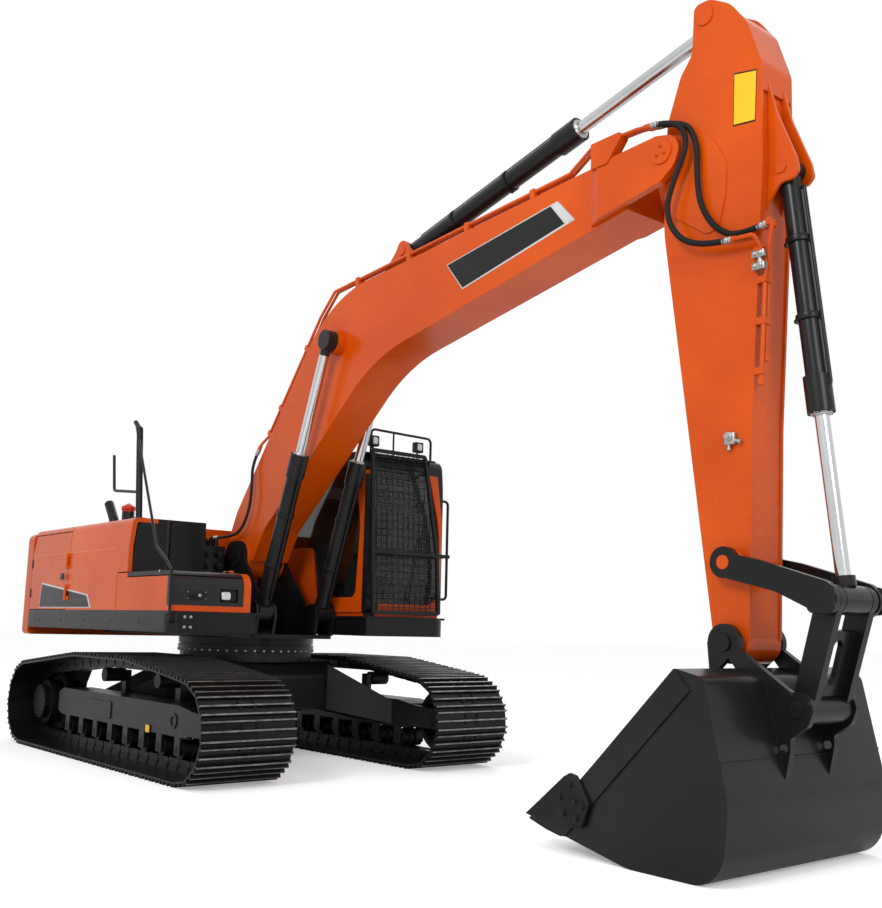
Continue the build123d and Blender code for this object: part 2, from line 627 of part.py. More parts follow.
def hood_and_deck():
    """Fixed top plates on both sides of the engine lid, with the wall behind the tower."""
    inner = UPPER_HALF_WIDTH - DECK_FLANGE - RUNNING_GAP
    deck = block((COUNTERWEIGHT_FRONT + RUNNING_GAP, BULKHEAD_X), (-inner, inner), (HOOD_TOP - 32, DECK_TOP))
    deck -= block((HOOD_REAR_X - 8, HOOD_AXIS[0] + 1), (-HOOD_HALF - 8, HOOD_HALF + 8),
                  (HOOD_TOP - 40, HOOD_TOP + 10))
    wall = block((BULKHEAD_X - 40, BULKHEAD_X), (-inner, inner), (SKIRT_TOP + RUNNING_GAP, HOOD_TOP - 5))
    tower_half = TOWER_INNER + 45
    deck += wall - block((BULKHEAD_X - 60, BULKHEAD_X + 40), (-tower_half, tower_half), (1200, 1560))
    for side in (-1, 1):
        deck += long_panel(REAR_PANEL_X, DOOR_SEAM_X - PANEL_GAP / 2, side, ROLL_START + PANEL_GAP)
        seam = sorted((side * (inner - 12), side * (inner + 12)))
        deck += block((REAR_PANEL_X, DOOR_SEAM_X), seam, (HOOD_TOP - 30, DECK_TOP - 1))
    for half in HOOD_HINGES[0]:
        deck += half
    return deck


def engine_hood():
    """Raised lid over the engine, a shallow pan with rolled edges, hinged at its front."""
    lid = block((HOOD_REAR_X, HOOD_FRONT_X), (-HOOD_HALF, HOOD_HALF), (HOOD_TOP - 30, HOOD_TOP + 60))
    lid = fillet(lid.edges().filter_by(Axis.Z), 60)
    lid = fillet(lid.faces().sort_by(Axis.Z)[-1].edges(), 40)
    lid -= block((HOOD_REAR_X + 30, HOOD_FRONT_X - 30), (30 - HOOD_HALF, HOOD_HALF - 30),
                 (HOOD_TOP - 31, HOOD_TOP + 30))
    for half in HOOD_HINGES[1]:
        lid += half
    return lid


def engine_block():
    return block((HOOD_REAR_X + 40, -1180), (-350, 350), (SKIRT_TOP + RUNNING_GAP, 1990))


def fuel_tank():
    """Welded tank behind the tool box, its folded black front wall open to view, on the deck."""
    front = TANK_FRONT_X - 12
    x = (BULKHEAD_X + 10, front)
    floor = SKIRT_TOP + RUNNING_GAP
    under_flange = DECK_TOP - PANEL_WALL - 1
    tank = block(x, (PANEL_WALL + 60 - UPPER_HALF_WIDTH, RIGHT_BAY_INNER_Y), (floor, under_flange))
    flange_y = DECK_FLANGE + RUNNING_GAP - UPPER_HALF_WIDTH
    tank += block(x, (flange_y, RIGHT_BAY_INNER_Y), (under_flange - 1, DECK_TOP))
    skin, low = PANEL_WALL + 3 - UPPER_HALF_WIDTH, TOOL_BOX_TOP + 6
    wing = [(skin, low, 0), (flange_y, low, 0), (flange_y, under_flange, 0), (skin + 62, under_flange, 0),
            (skin + 28, under_flange - 32, 0), (skin, CREASE_Z - 120, 0)]
    tank += front_plate(wing, front - 10, front)
    fold = [(front - 1, -1010, 0), (front + 9, -985, 0), (front - 1, -960, 0)]
    return tank + plan_plate(fold, low, DECK_TOP)


def right_front_panel():
    """Fixed flank panel round the tank: a pillar at its front, stepped back over the tool box's skin."""
    rear, front = DOOR_SEAM_X + PANEL_GAP / 2, TANK_FRONT_X - 10
    low, high, step = SKIRT_TOP, HOOD_TOP + 10, TOOL_BOX_TOP + 5
    rows = [(rear, low, 0), (WING_REAR_X - PANEL_GAP, low, 0), (WING_REAR_X - PANEL_GAP, step, 12),
            (front, step, 0), (front, high, 0), (rear, high, 0)]
    panel = side_wall(rows, -1)
    for half in side_door(-1)[1]:
        panel += half
    return panel


def left_front_panel():
    """Fixed flank panel between the left service door and the cab."""
    panel = long_panel(DOOR_SEAM_X + PANEL_GAP / 2, CAB_REAR_X - 15, 1)
    for half in side_door(1)[1]:
        panel += half
    return panel


VALVE_X = (-300.0, 30.0)
VALVE_Y = (-560.0, -300.0)
VALVE_TOP = 1940.0
HOSE_PORT = (-200.0, -300.0, 2035.0)


def control_valve():
    """Valve bank between tank and tower: a cast body, rows of spool caps, and the ports on its top."""
    body = block(VALVE_X, VALVE_Y, (SKIRT_TOP + RUNNING_GAP, VALVE_TOP))
    middle_y = (VALVE_Y[0] + VALVE_Y[1]) / 2
    face = Plane((VALVE_X[1] - 1, middle_y, 1640), x_dir=(0, 1, 0), z_dir=(1, 0, 0))
    for spot in GridLocations(120, 110, 2, 5):
        body += extrude(face * spot * Circle(32), amount=46)
        body += extrude(face * spot * RegularPolygon(20, 6), amount=62)
    for x in (-230, -130, -30):
        for y in (middle_y - 60, middle_y + 60):
            body += upright((x, y), 24, VALVE_TOP - 1, VALVE_TOP + 70)
    port_x, port_y, port_z = HOSE_PORT
    rise = pipe([(port_x - 60, port_y - 12, VALVE_TOP - 1), (port_x - 60, port_y - 12, port_z), HOSE_PORT],
                HOSE_RADIUS - 1, 30)
    collar = bar((port_x - 25, port_y - 5, port_z), HOSE_PORT, HOSE_RADIUS + 5)
    return body + rise + collar


LID_BOTTOM = TOOL_BOX_TOP - 45
LID_INNER_Y = RIGHT_BAY_INNER_Y - 80
LID_AXIS = (LID_INNER_Y, TOOL_BOX_TOP + HINGE_STAND - 1)
LID_HINGES = hinges([(x, LID_AXIS[0], LID_AXIS[1]) for x in (430.0, 860.0)], (0, -1, 0), (-1, 0, 0))
LAMP_Y = (-910.0, -742.0)
LAMP_Z = (1390.0, 1500.0)
LAMP_DEPTH = 40.0


def tool_box_shell():
    """Outer form of the box ahead of the tank, with its front rolled over."""
    width = (-UPPER_HALF_WIDTH, RIGHT_BAY_INNER_Y)
    box = block((TANK_FRONT_X + 6, TOOL_BOX_FRONT_X), width, (SKIRT_TOP + RUNNING_GAP, TOOL_BOX_TOP))
    front = box.edges().filter_by(Axis.Y).sort_by(Axis.X)[-2:].sort_by(Axis.Z)[-1]
    return fillet(front, 110)


def tool_box():
    """Open-topped box with a side skin that runs back under the flank panel, and a lamp's recess."""
    shell = tool_box_shell()
    width = (25 - UPPER_HALF_WIDTH, RIGHT_BAY_INNER_Y - 25)
    shell -= block((TANK_FRONT_X + 30, TOOL_BOX_FRONT_X - 90), width, (SKIRT_TOP + 40, LID_BOTTOM + 1))
    shell -= block((0, 2000), (-1400, LID_INNER_Y), (LID_BOTTOM, 2000))
    shell += block((TANK_FRONT_X + 20, TOOL_BOX_FRONT_X - 80), (LID_INNER_Y, LID_INNER_Y + 20),
                   (LID_BOTTOM - 60, LID_BOTTOM + 5))
    skin = (-UPPER_HALF_WIDTH, PANEL_WALL - UPPER_HALF_WIDTH)
    shell += block((WING_REAR_X, TANK_FRONT_X + 20), skin, (SKIRT_TOP + RUNNING_GAP, LID_BOTTOM))
    shell += block((WING_REAR_X, TANK_FRONT_X - 3), skin, (LID_BOTTOM - 1, TOOL_BOX_TOP - 4))
    shell -= block((TOOL_BOX_FRONT_X - LAMP_DEPTH, TOOL_BOX_FRONT_X + 10), LAMP_Y, LAMP_Z)
    for half in LID_HINGES[0]:
        shell += half
    return shell


def work_lamp():
    """Twin lamp set in the tool box's recess."""
    back = TOOL_BOX_FRONT_X - LAMP_DEPTH + RUNNING_GAP
    lamp = block((back, back + 14), (LAMP_Y[0] + 6, LAMP_Y[1] - 6), (LAMP_Z[0] + 6, LAMP_Z[1] - 6))
    for share in (0.28, 0.72):
        y = LAMP_Y[0] + (LAMP_Y[1] - LAMP_Y[0]) * share
        z = (LAMP_Z[0] + LAMP_Z[1]) / 2
        glass = block((back + 13, back + 30), (y - 33, y + 33), (z - 40, z + 40))
        lamp += fillet(glass.edges().filter_by(Axis.X), 12)
    return lamp


def tool_box_lid():
    """Pan lid over the tool box, hinged along its inner side."""
    lid = tool_box_shell()
    lid &= block((0, 2000), (-1400, LID_INNER_Y - PANEL_GAP), (LID_BOTTOM + PANEL_GAP, 2000))
    lid -= block((TANK_FRONT_X + 50, TOOL_BOX_FRONT_X - 140), (30 - UPPER_HALF_WIDTH, LID_INNER_Y - 40),
                 (LID_BOTTOM, TOOL_BOX_TOP - 18))
    for half in LID_HINGES[1]:
        lid += half
    return lid


# ---- cab ---------------------------------------------------------------------------------------------
CAB_OUTLINE = [
    (CAB_REAR_X, CAB_BOTTOM, 60), (CAB_FRONT_X - 25, CAB_BOTTOM, 60), (CAB_FRONT_X, 1650, 300),
    (CAB_FRONT_X - 25, 2250, 600), (CAB_FRONT_X - 130, CAB_TOP - 10, 130), (CAB_REAR_X + 40, CAB_TOP, 130),
    (CAB_REAR_X, 2300, 300),
]
SIDE_WINDOW = [
    (CAB_REAR_X + 110, 1960, 60), (420, 1960, 60), (520, 1480, 60), (1180, 1480, 80), (1225, 2150, 300),
    (1120, 2700, 80), (CAB_REAR_X + 140, 2710, 80),
]
DOOR_OUTLINE = [
    (330, CAB_BOTTOM + 45, 60), (1130, CAB_BOTTOM + 45, 90), (1215, 1700, 300), (1215, 2150, 400),
    (1120, 2725, 90), (330, 2735, 90),
]
DOOR_WINDOW = [
    (410, 1900, 60), (560, 1520, 60), (1090, 1520, 90), (1145, 1750, 250), (1145, 2140, 400),
    (1060, 2660, 70), (425, 2670, 70),
]
REAR_SIDE_WINDOW = [(-230, 1960, 60), (240, 1960, 60), (260, 2700, 80), (-190, 2710, 80)]
# The windscreen's opening in Y and Z: the left post leans inwards, and its foot sweeps into the sill.
CAB_LEFT = UPPER_HALF_WIDTH
FRONT_WINDOW = [
    (CAB_INNER_Y + 70, 1425, 40), (CAB_LEFT - 100, 1425, 170), (CAB_LEFT - 105, 2100, 300),
    (CAB_LEFT - 175, 2700, 80), (CAB_INNER_Y + 70, 2700, 60),
]
REAR_WINDOW = [
    (CAB_INNER_Y + 90, 2020, 50), (CAB_LEFT - 90, 2020, 50), (CAB_LEFT - 90, 2680, 50),
    (CAB_INNER_Y + 90, 2680, 50),
]
ROOF_HATCH = [
    (450, CAB_INNER_Y + 180, 60), (1050, CAB_INNER_Y + 180, 60), (1050, CAB_LEFT - 180, 60),
    (450, CAB_LEFT - 180, 60),
]


def cab_form(inset=0.0):
    """The cab's outer form, or one inset by a wall: the side outline with the front left corner rounded."""
    form = side_plate(grown(CAB_OUTLINE, -inset), CAB_INNER_Y + inset, CAB_LEFT - inset)
    rear, front, left = CAB_REAR_X - 10, CAB_FRONT_X - inset, CAB_LEFT - inset
    plan = [(rear, CAB_INNER_Y - 10, 0), (front, CAB_INNER_Y - 10, 0), (front, left, CAB_CORNER - inset),
            (rear, left, 0)]
    return form & plan_plate(plan, CAB_BOTTOM - 10, CAB_TOP + 10)


CAB_SOLID = cab_form()
LIP_OUTLINE = [
    (1150, CAB_TOP - 30, 0), (1312, CAB_TOP - 52, 0), (1312, CAB_TOP - 32, 8), (1150, CAB_TOP - 4, 0),
]
CAB_LIP = side_plate(LIP_OUTLINE, CAB_INNER_Y + 30, CAB_LEFT - 130)
DOOR_AXIS = (326.0, CAB_LEFT + HINGE_STAND - 1)
DOOR_HINGES = hinges([(DOOR_AXIS[0], DOOR_AXIS[1], z) for z in (1620.0, 2450.0)], (1, 0, 0), (0, 0, 1))


def cab_shell():
    """Pressed cab with its windows cut, on a plinth, with a rain lip over the windscreen."""
    shell = CAB_SOLID - cab_form(CAB_WALL)
    shell -= side_plate(SIDE_WINDOW, CAB_INNER_Y - 5, CAB_INNER_Y + CAB_WALL + 5)
    shell -= side_plate(grown(DOOR_OUTLINE, PANEL_GAP), CAB_LEFT - CAB_WALL - 5, CAB_LEFT + 5)
    shell -= side_plate(REAR_SIDE_WINDOW, CAB_LEFT - CAB_WALL - 5, CAB_LEFT + 5)
    shell -= front_plate(FRONT_WINDOW, CAB_FRONT_X - 300, CAB_FRONT_X + 10)
    shell -= front_plate(REAR_WINDOW, CAB_REAR_X - 10, CAB_REAR_X + 120)
    shell -= plan_plate(ROOF_HATCH, CAB_TOP - 90, CAB_TOP + 10)
    shell += CAB_LIP
    shell += block((CAB_REAR_X + 60, CAB_FRONT_X - 70), (CAB_INNER_Y + 20, CAB_LEFT - 60),
                   (SKIRT_TOP + RUNNING_GAP, CAB_BOTTOM + 20))
    for half in DOOR_HINGES[0]:
        shell += half
    return shell


def cab_door():
    door = side_plate(DOOR_OUTLINE, CAB_LEFT - CAB_WALL + 8, CAB_LEFT)
    door -= side_plate(DOOR_WINDOW, CAB_LEFT - CAB_WALL, CAB_LEFT + 5)
    grip = pipe([(1161, CAB_LEFT - 1, 1570), (1161, CAB_LEFT + 32, 1570), (1161, CAB_LEFT + 32, 1770),
                 (1161, CAB_LEFT - 1, 1770)], 10, 14)
    for half in DOOR_HINGES[1]:
        door += half
    return door + grip


def cab_glass():
    """Panes set in the middle of the openings' thickness."""
    y_right, y_left = CAB_INNER_Y + CAB_WALL / 2, CAB_LEFT - CAB_WALL / 2
    rear_x, roof_z = CAB_REAR_X + 30, CAB_TOP - 30
    shift = 20
    outer = [(x - shift, z, r) for x, z, r in CAB_OUTLINE]
    inner = [(x - GLASS_THICKNESS, z, r) for x, z, r in outer]
    screen = side_plate(outer, CAB_INNER_Y, CAB_LEFT) - side_plate(inner, CAB_INNER_Y - 1, CAB_LEFT + 1)
    panes = [
        side_plate(grown(SIDE_WINDOW, -GLASS_GAP), y_right, y_right + GLASS_THICKNESS),
        side_plate(grown(REAR_SIDE_WINDOW, -GLASS_GAP), y_left, y_left + GLASS_THICKNESS),
        front_plate(grown(REAR_WINDOW, -GLASS_GAP), rear_x, rear_x + GLASS_THICKNESS),
        plan_plate(grown(ROOF_HATCH, -GLASS_GAP), roof_z, roof_z + GLASS_THICKNESS),
        screen & front_plate(grown(FRONT_WINDOW, -GLASS_GAP), CAB_FRONT_X - 300, CAB_FRONT_X),
    ]
    return Compound([solid for pane in panes for solid in pane.solids()])


def door_glass():
    y = CAB_LEFT - CAB_WALL / 2
    return side_plate(grown(DOOR_WINDOW, -GLASS_GAP), y, y + GLASS_THICKNESS)


SEAT_HALF = 250.0
CONSOLE_GAP = 12.0


def seat():
    """Cushion, back and pedestal, with an armrest console on each side."""
    y = (CAB_INNER_Y + CAB_LEFT) / 2
    floor = CAB_BOTTOM + CAB_WALL
    chair = block((150, 560), (y - 170, y + 170), (floor, floor + 330))
    cushion = block((80, 640), (y - SEAT_HALF, y + SEAT_HALF), (floor + 325, floor + 470))
    chair += fillet(cushion.edges(), 45)
    back = [(60, floor + 440, 40), (210, floor + 440, 40), (130, floor + 1130, 50), (0, floor + 1130, 50)]
    chair += side_plate(back, y + 15 - SEAT_HALF, y - 15 + SEAT_HALF)
    console_outer = (CAB_LEFT - CAB_INNER_Y) / 2 - CAB_WALL - 43
    rows = [(150, floor, 10), (560, floor, 10), (700, floor + 520, 60), (160, floor + 600, 60)]
    for side in (-1, 1):
        console = side_plate(rows, *sorted((y + side * (SEAT_HALF + CONSOLE_GAP), y + side * console_outer)))
        lever_y = y + side * (SEAT_HALF + CONSOLE_GAP + console_outer) / 2
        chair += console + bar((640, lever_y, floor + 500), (670, lever_y, floor + 690), 20)
    return Compound(chair.solids())


GUARD_FOOT = (1420.0, 1330.0)
GUARD_HEAD = (1335.0, 2840.0)
GUARD_BAR = 32.0
GUARD_DEPTH = 28.0
GUARD_WIRE = 5.0
GUARD_SPLIT = 560.0         # height of the middle bar above the guard's foot


def front_guard():
    """Mesh guard in two fields ahead of the windscreen, leaning back with it, on standoffs."""
    rise = hypot(GUARD_HEAD[0] - GUARD_FOOT[0], GUARD_HEAD[1] - GUARD_FOOT[1])
    forward = ((GUARD_HEAD[1] - GUARD_FOOT[1]) / rise, (GUARD_FOOT[0] - GUARD_HEAD[0]) / rise)
    foot_x, foot_z = GUARD_FOOT

    def leaned(depth):
        origin = (foot_x + forward[0] * depth, 0, foot_z + forward[1] * depth)
        return Plane(origin, x_dir=(0, 1, 0), z_dir=(forward[0], 0, forward[1]))
    low, high, top = CAB_INNER_Y + 8, CAB_LEFT - 140, CAB_LEFT - 280
    rows = [(low, 0, 20), (high, 0, 40), (high - 5, GUARD_SPLIT, 200), (top, rise, 40), (low, rise, 20)]
    outer = flat(rows)
    inner = offset(outer, amount=-GUARD_BAR, kind=Kind.INTERSECTION)
    guard = extrude(leaned(0) * (outer - inner), amount=GUARD_DEPTH)
    arm_end = CAB_LEFT - 15
    middle = Pos((low + arm_end) / 2, GUARD_SPLIT) * Rectangle(arm_end - low, GUARD_BAR)
    guard += extrude(leaned(0) * middle, amount=GUARD_DEPTH)
    bounds = offset(outer, amount=-GUARD_BAR / 2, kind=Kind.INTERSECTION)
    for i in range(12):
        wire = Pos(low + 62 * (i + 1), rise / 2) * Rectangle(GUARD_WIRE, 2 * rise)
        guard += extrude(leaned(6) * (wire & bounds), amount=GUARD_WIRE)
    for i in range(22):
        wire = Pos((low + high) / 2, 66 * (i + 1)) * Rectangle(2 * high, GUARD_WIRE)
        guard += extrude(leaned(7 + GUARD_WIRE) * (wire & bounds), amount=GUARD_WIRE)
    for y, z in ((low, 1490), (high - 60, 1490), (low, 2660), (top - 14, 2660), (arm_end - 26, 1889)):
        front = foot_x - (z - foot_z) * forward[1] / forward[0]
        guard += block((CAB_FRONT_X - 160, front + 12), (y, y + 26), (z - 13, z + 13)) - CAB_SOLID
    return guard


def grab_rail():
    """Climbing rail up the cab's front left corner, on two standoffs."""
    x, y = CAB_FRONT_X - CAB_CORNER / 2, CAB_LEFT + 45
    rail = pipe([(x, CAB_LEFT - 60, 1490), (x, y, 1490), (x, y, 2430), (x, CAB_LEFT - 60, 2430)], 13, 40)
    return rail - CAB_SOLID


def light_rail():
    """Low rail along the roof's front edge with two lamps."""
    x, top, foot = 1180.0, CAB_TOP + 215, CAB_TOP - 60
    right, left = CAB_INNER_Y + 122, CAB_LEFT - 92
    rail = pipe([(x, right, foot), (x, right, top), (x, left, top - 12), (x, left, foot)], 12, 45)
    rail += bar((x, right + 262, foot), (x, right + 262, top - 4), 9)
    for y in (right + 23, left - 165):
        rail += bar((x, y, foot), (x, y, CAB_TOP + 60), 9)
        rail += fillet(block((x - 22, x + 40), (y - 48, y + 48), (CAB_TOP + 50, CAB_TOP + 150)).edges(), 8)
    return rail - CAB_SOLID - CAB_LIP


POST_Y = 155.0 - UPPER_HALF_WIDTH
POST_HEAD = (-47.0, 2970.0)


def handrails():
    """Post on the flank's top with its mirror arm, and the thin rail down to the steps."""
    out = -UPPER_HALF_WIDTH - 20
    head = (POST_HEAD[0], POST_Y, POST_HEAD[1])
    rails = upright((60, POST_Y), 66, DECK_TOP + RUNNING_GAP, DECK_TOP + 14)
    rails += bar((60, POST_Y, DECK_TOP + 10), head, 30) + Pos(*head) * Sphere(30)
    rails += bar(head, (-150, POST_Y, 3050), 22)
    front = TOOL_BOX_FRONT_X
    rails += pipe([(-145, POST_Y, 3046), (front - 280, out, 1840), (front - 70, out, 1715),
                   (front + 20, out, 1640), (front + 38, out, 1225), (front - 30, out + 85, 1225)], 12, 18)
    rails += pipe([(27, POST_Y, 2380), (-539, POST_Y, 2439), (-599, POST_Y, 2784)], 14, 40)
    gap, side = RUNNING_GAP, -UPPER_HALF_WIDTH
    skirt_form = [(0, side - gap, 0), (front + gap, side - gap, SKIRT_CORNER + gap), (front + gap, 0, 0),
                  (0, 0, 0)]
    return rails - plan_plate(skirt_form, SKIRT_BOTTOM - 5, SKIRT_TOP - 2)


EXHAUST_Y = 455.0 - UPPER_HALF_WIDTH


def exhaust_stack():
    """Tail pipe that rises through the deck and leans to the rear."""
    y = EXHAUST_Y
    foot = DECK_TOP + RUNNING_GAP
    flange = upright((-1212, y), 70, foot, foot + 10)
    return flange + pipe([(-1212, y, foot), (-1212, y, 2215), (-1370, y, 2400)], 48, 100)


def filler_cap():
    """Filler neck through the deck with a domed cap."""
    profile = [(0, 0, 0), (60, 0, 0), (60, 168, 0), (68, 174, 0), (68, 206, 14), (0, 242, 0)]
    return Pos(-880, EXHAUST_Y, DECK_TOP + RUNNING_GAP) * revolve(Plane.XZ * flat(profile), Axis.Z)


# ---- working arm ---------------------------------------------------------------------------------------
BOOM_OUTLINE = [
    (-95, 1840, 0), (-105, 2030, 110), (30, 2281, 60), (1506, 4089, 1300), (4700, 4296, 300),
    (5320, 4320, 0), (5320, 3982, 0), (2196, 3414, 1560), (560, 2088, 200), (370, 1800, 0),
]
CHEEK_OUTLINE = [
    (4600, 4270, 0), (5240, 4300, 60), (5385, 4265, 110), (5420, 4170, 90), (5380, 4070, 90),
    (5270, 3992, 60), (4600, 3870, 0),
]
# Where the tip's fork opens, as a line in X and Z that leans with the arm at its full reach inwards.
FORK_LINE = ((4825, 4600), (5000, 3700))


def inner_outline(rows, wall):
    """Outline moved inwards by a wall."""
    return offset(flat(rows), amount=-wall, kind=Kind.INTERSECTION)


def hollow(rows, wall, half, room):
    """Inside of a box girder with a side outline, kept to a block of space."""
    plane = Plane((0, half - wall, 0), x_dir=(1, 0, 0), z_dir=(0, -1, 0))
    return extrude(plane * inner_outline(rows, wall), amount=2 * (half - wall)) & room


BOOM_SOLID = side_plate(BOOM_OUTLINE, -BOOM_HALF, BOOM_HALF)


def tip_cheeks():
    """Pair of plates that widen the boom's tip into a fork."""
    plan = plan_plate([
        (4640, BOOM_HALF - 20, 0), (4640, BOOM_HALF, 0), (4740, FORK_OUTER, 60), (5600, FORK_OUTER, 0),
        (5600, FORK_INNER, 0), (4960, FORK_INNER, 0), (4830, BOOM_HALF - 20, 0),
    ], 3000, 5000)
    return both_sides(plan & side_plate(CHEEK_OUTLINE, 0, FORK_OUTER))


def boom():
    """Welded box girder: two side plates, flanges between them, cast foot boss and a forked tip."""
    room = block((-500, FORK_LINE[0][0] - 60), (-400, 400), (0, 6000))
    girder = BOOM_SOLID - hollow(BOOM_OUTLINE, BOOM_WALL, BOOM_HALF, room)
    (top_x, top_z), (low_x, low_z) = FORK_LINE
    fork = [(top_x, top_z, 0), (low_x, low_z, 0), (5800, low_z, 0), (5800, top_z, 0)]
    girder -= side_plate(fork, -400, 400)
    girder += tip_cheeks()
    girder += cross_pin(BOOM_TIP, TIP_PIN, -FORK_OUTER - 12, FORK_OUTER + 12)
    girder += both_sides(cross_pin(BOOM_TIP, TIP_PIN + 26, FORK_OUTER - 1, FORK_OUTER + 12))
    girder += cross_pin(BOOM_FOOT, 185, -BOOM_HALF - 10, BOOM_HALF + 10)
    girder -= bore(BOOM_FOOT, FOOT_PIN + SHAFT_GAP)
    boss_end = BOOM_CYLINDER_Y - 45 - PIN_GAP
    girder += both_sides(cross_pin(BOOM_ROD_PIN, 110, BOOM_HALF - 2, boss_end))
    pin_x, pin_z = ARM_BASE_PIN
    lug = side_plate([
        (pin_x - 290, 4125, 0), (pin_x + 290, 4145, 0), (pin_x + 80, pin_z + 15, 50),
        (pin_x + 40, pin_z + 85, 60), (pin_x - 40, pin_z + 85, 60), (pin_x - 80, pin_z + 15, 50),
    ], 82, 112)
    pin_end = 122
    return girder + both_sides(lug) + cross_pin(ARM_BASE_PIN, 42, -pin_end, pin_end)


FOOT_HOSE = [(430, -212, 2845), (350, -230, 2715), (375, -240, 2520), (370, -245, 2300), (240, -252, 2080),
             (0, -260, 2035), HOSE_PORT]
TIP_HOSES = (
    [(5205, -238, 4385), (5403, -238, 4357), (5487, -238, 4176), (5375, -238, 3985), (5300, -238, 3785),
     (5395, -238, 3585), (5600, -238, 3490), (5780, -238, 3480)],
    [(5225, -200, 4385), (5430, -200, 4357), (5520, -200, 4185), (5515, -200, 3970), (5535, -200, 3770),
     (5645, -200, 3590), (5800, -200, 3500), (5990, -200, 3530)],
)
BOOM_PIPE_Y = (-172.0, -135.0)
BOOM_PIPE_PATH = [(530, 2965), (1345, 3955), (1560, 4146), (4430, 4330), (4690, 4404), (4900, 4408)]
PIPE_CLAMP = 18.0
TIP_BRACKET = [(4700, 4250, 0), (4700, 4426, 0), (4960, 4430, 20), (4960, 4390, 20), (4840, 4250, 0)]


def fitting(points, length):
    """Steel collar on a pipe's end, back along its last run."""
    return bar(toward_point(points[-1], points[-2], length), points[-1], PIPE_RADIUS + 6)


def boom_pipes():
    """Two rigid oil lines along the boom's top, on clamps, that swing out beside the arm at the tip."""
    line = side_plate(TIP_BRACKET, TIP_HOSES[0][0][1] - PIPE_CLAMP, TIP_HOSES[1][0][1] + PIPE_CLAMP)
    for y, hose_route in zip(BOOM_PIPE_Y, TIP_HOSES):
        hose_end = hose_route[0]
        points = [(x, y if x < TIP_BRACKET[0][0] - 50 else hose_end[1], z) for x, z in BOOM_PIPE_PATH]
        points += [toward_point(hose_end, hose_route[1], -130), hose_end]
        bends = [60] * (len(points) - 2)
        line += fitting(points, 60)
        if y == BOOM_PIPE_Y[0]:
            points = [FOOT_HOSE[0], toward_point(FOOT_HOSE[0], FOOT_HOSE[1], -60)] + points
            bends = [20, 20] + bends
            line += fitting(points[::-1], 40)
        line += pipe(points, PIPE_RADIUS, bends)
    low_y, high_y = BOOM_PIPE_Y[0] - PIPE_CLAMP, BOOM_PIPE_Y[1] + PIPE_CLAMP
    for start, end, places in ((0, 1, (0.03, 0.25, 0.75)), (2, 3, (0.125, 0.375, 0.625, 0.875))):
        (x0, z0), (x1, z1) = BOOM_PIPE_PATH[start], BOOM_PIPE_PATH[end]
        for place in places:
            at = hypot(x1 - x0, z1 - z0) * place
            rows = [toward((x0, z0), (x1, z1), at + along, aside) + (0,)
                    for along, aside in ((-22, -19), (22, -19), (22, 110), (-22, 110))]
            line += side_plate(rows, low_y, high_y)
    return line - BOOM_SOLID - tip_cheeks()


ARM_OUTLINE = [
    (5552, 1200, 0), (5789, 1200, 0), (5835, 2400, 2000), (5945, 3950, 800), (5955, 4550, 150),
    (5862, 4840, 120), (5742, 5010, 150), (5600, 5105, 120), (5478, 5108, 45), (5470, 4960, 60),
    (5458, 4790, 120), (5370, 4680, 120), (5262, 4400, 250), (5225, 3700, 900),
]
ARM_CORE = [
    (5560, 1210, 0), (5781, 1210, 0), (5825, 2400, 2000), (5932, 3950, 800), (5937, 4400, 60),
    (5560, 4560, 60), (5345, 4440, 60), (5277, 4300, 300), (5239, 3700, 900),
]
ARM_DOUBLER = [
    (5270, 4290, 80), (5470, 4275, 120), (5600, 4200, 150), (5705, 4000, 200), (5690, 3790, 200),
    (5640, 3620, 60), (5560, 3590, 60), (5262, 3800, 60),
]
BUCKET_LUG = [
    (5870, 3600, 0), (5900, 4440, 0), (5950, 4445, 20), (6000, 4235, 300), (6120, 3925, 60),
    (6135, 3840, 40), (6095, 3800, 40), (6010, 3800, 60), (5935, 3705, 80), (5880, 3600, 0),
]
BUCKET_LUG_Y = (66.0, 86.0)


def arm():
    """Tapering box arm, its side plates run up to the cylinder's pin, with lugs on its back."""
    solid = both_sides(side_plate(ARM_OUTLINE, ARM_HALF - ARM_WALL - 2, ARM_HALF))
    solid += both_sides(side_plate(ARM_DOUBLER, ARM_HALF - 1, ARM_HALF + 10))
    core = side_plate(ARM_CORE, ARM_WALL - ARM_HALF, ARM_HALF - ARM_WALL)
    core -= hollow(ARM_CORE, ARM_WALL, ARM_HALF, block((5000, 6200), (-400, 400), (1420, 6000)))
    solid += core
    room = block((5810, 6200), (-400, 400), (4380, 4900))
    upper_back = side_plate(ARM_OUTLINE, 2 - ARM_HALF, ARM_HALF - 2) & room
    solid += upper_back - hollow(ARM_OUTLINE, ARM_WALL, ARM_HALF, room)
    solid += cross_pin(BUCKET_PIN, 116, -ARM_HALF, ARM_HALF)
    solid -= bore(BUCKET_PIN, BUCKET_PIN_RADIUS + SHAFT_GAP)
    solid += cross_pin(BOOM_TIP, 120, -BOOM_HALF, BOOM_HALF)
    solid -= bore(BOOM_TIP, TIP_PIN + SHAFT_GAP)
    solid += both_sides(cross_pin(ROCKER_PIN, 78, ARM_HALF - 5, ROCKER_INNER - PIN_GAP))
    solid += cross_pin(ROCKER_PIN, ROCKER_PIN_RADIUS, -ROCKER_OUTER - 4, ROCKER_OUTER + 4)
    solid += both_sides(cross_pin(ARM_ROD_PIN, 85, 50 + PIN_GAP, ARM_HALF - 4))
    solid += both_sides(cross_pin(ARM_ROD_PIN, 62, ARM_HALF - 1, ARM_HALF + 10))
    pin_end = BUCKET_LUG_Y[1] + 10
    solid += both_sides(side_plate(BUCKET_LUG, *BUCKET_LUG_Y))
    return solid + cross_pin(BUCKET_BASE_PIN, 36, -pin_end, pin_end)


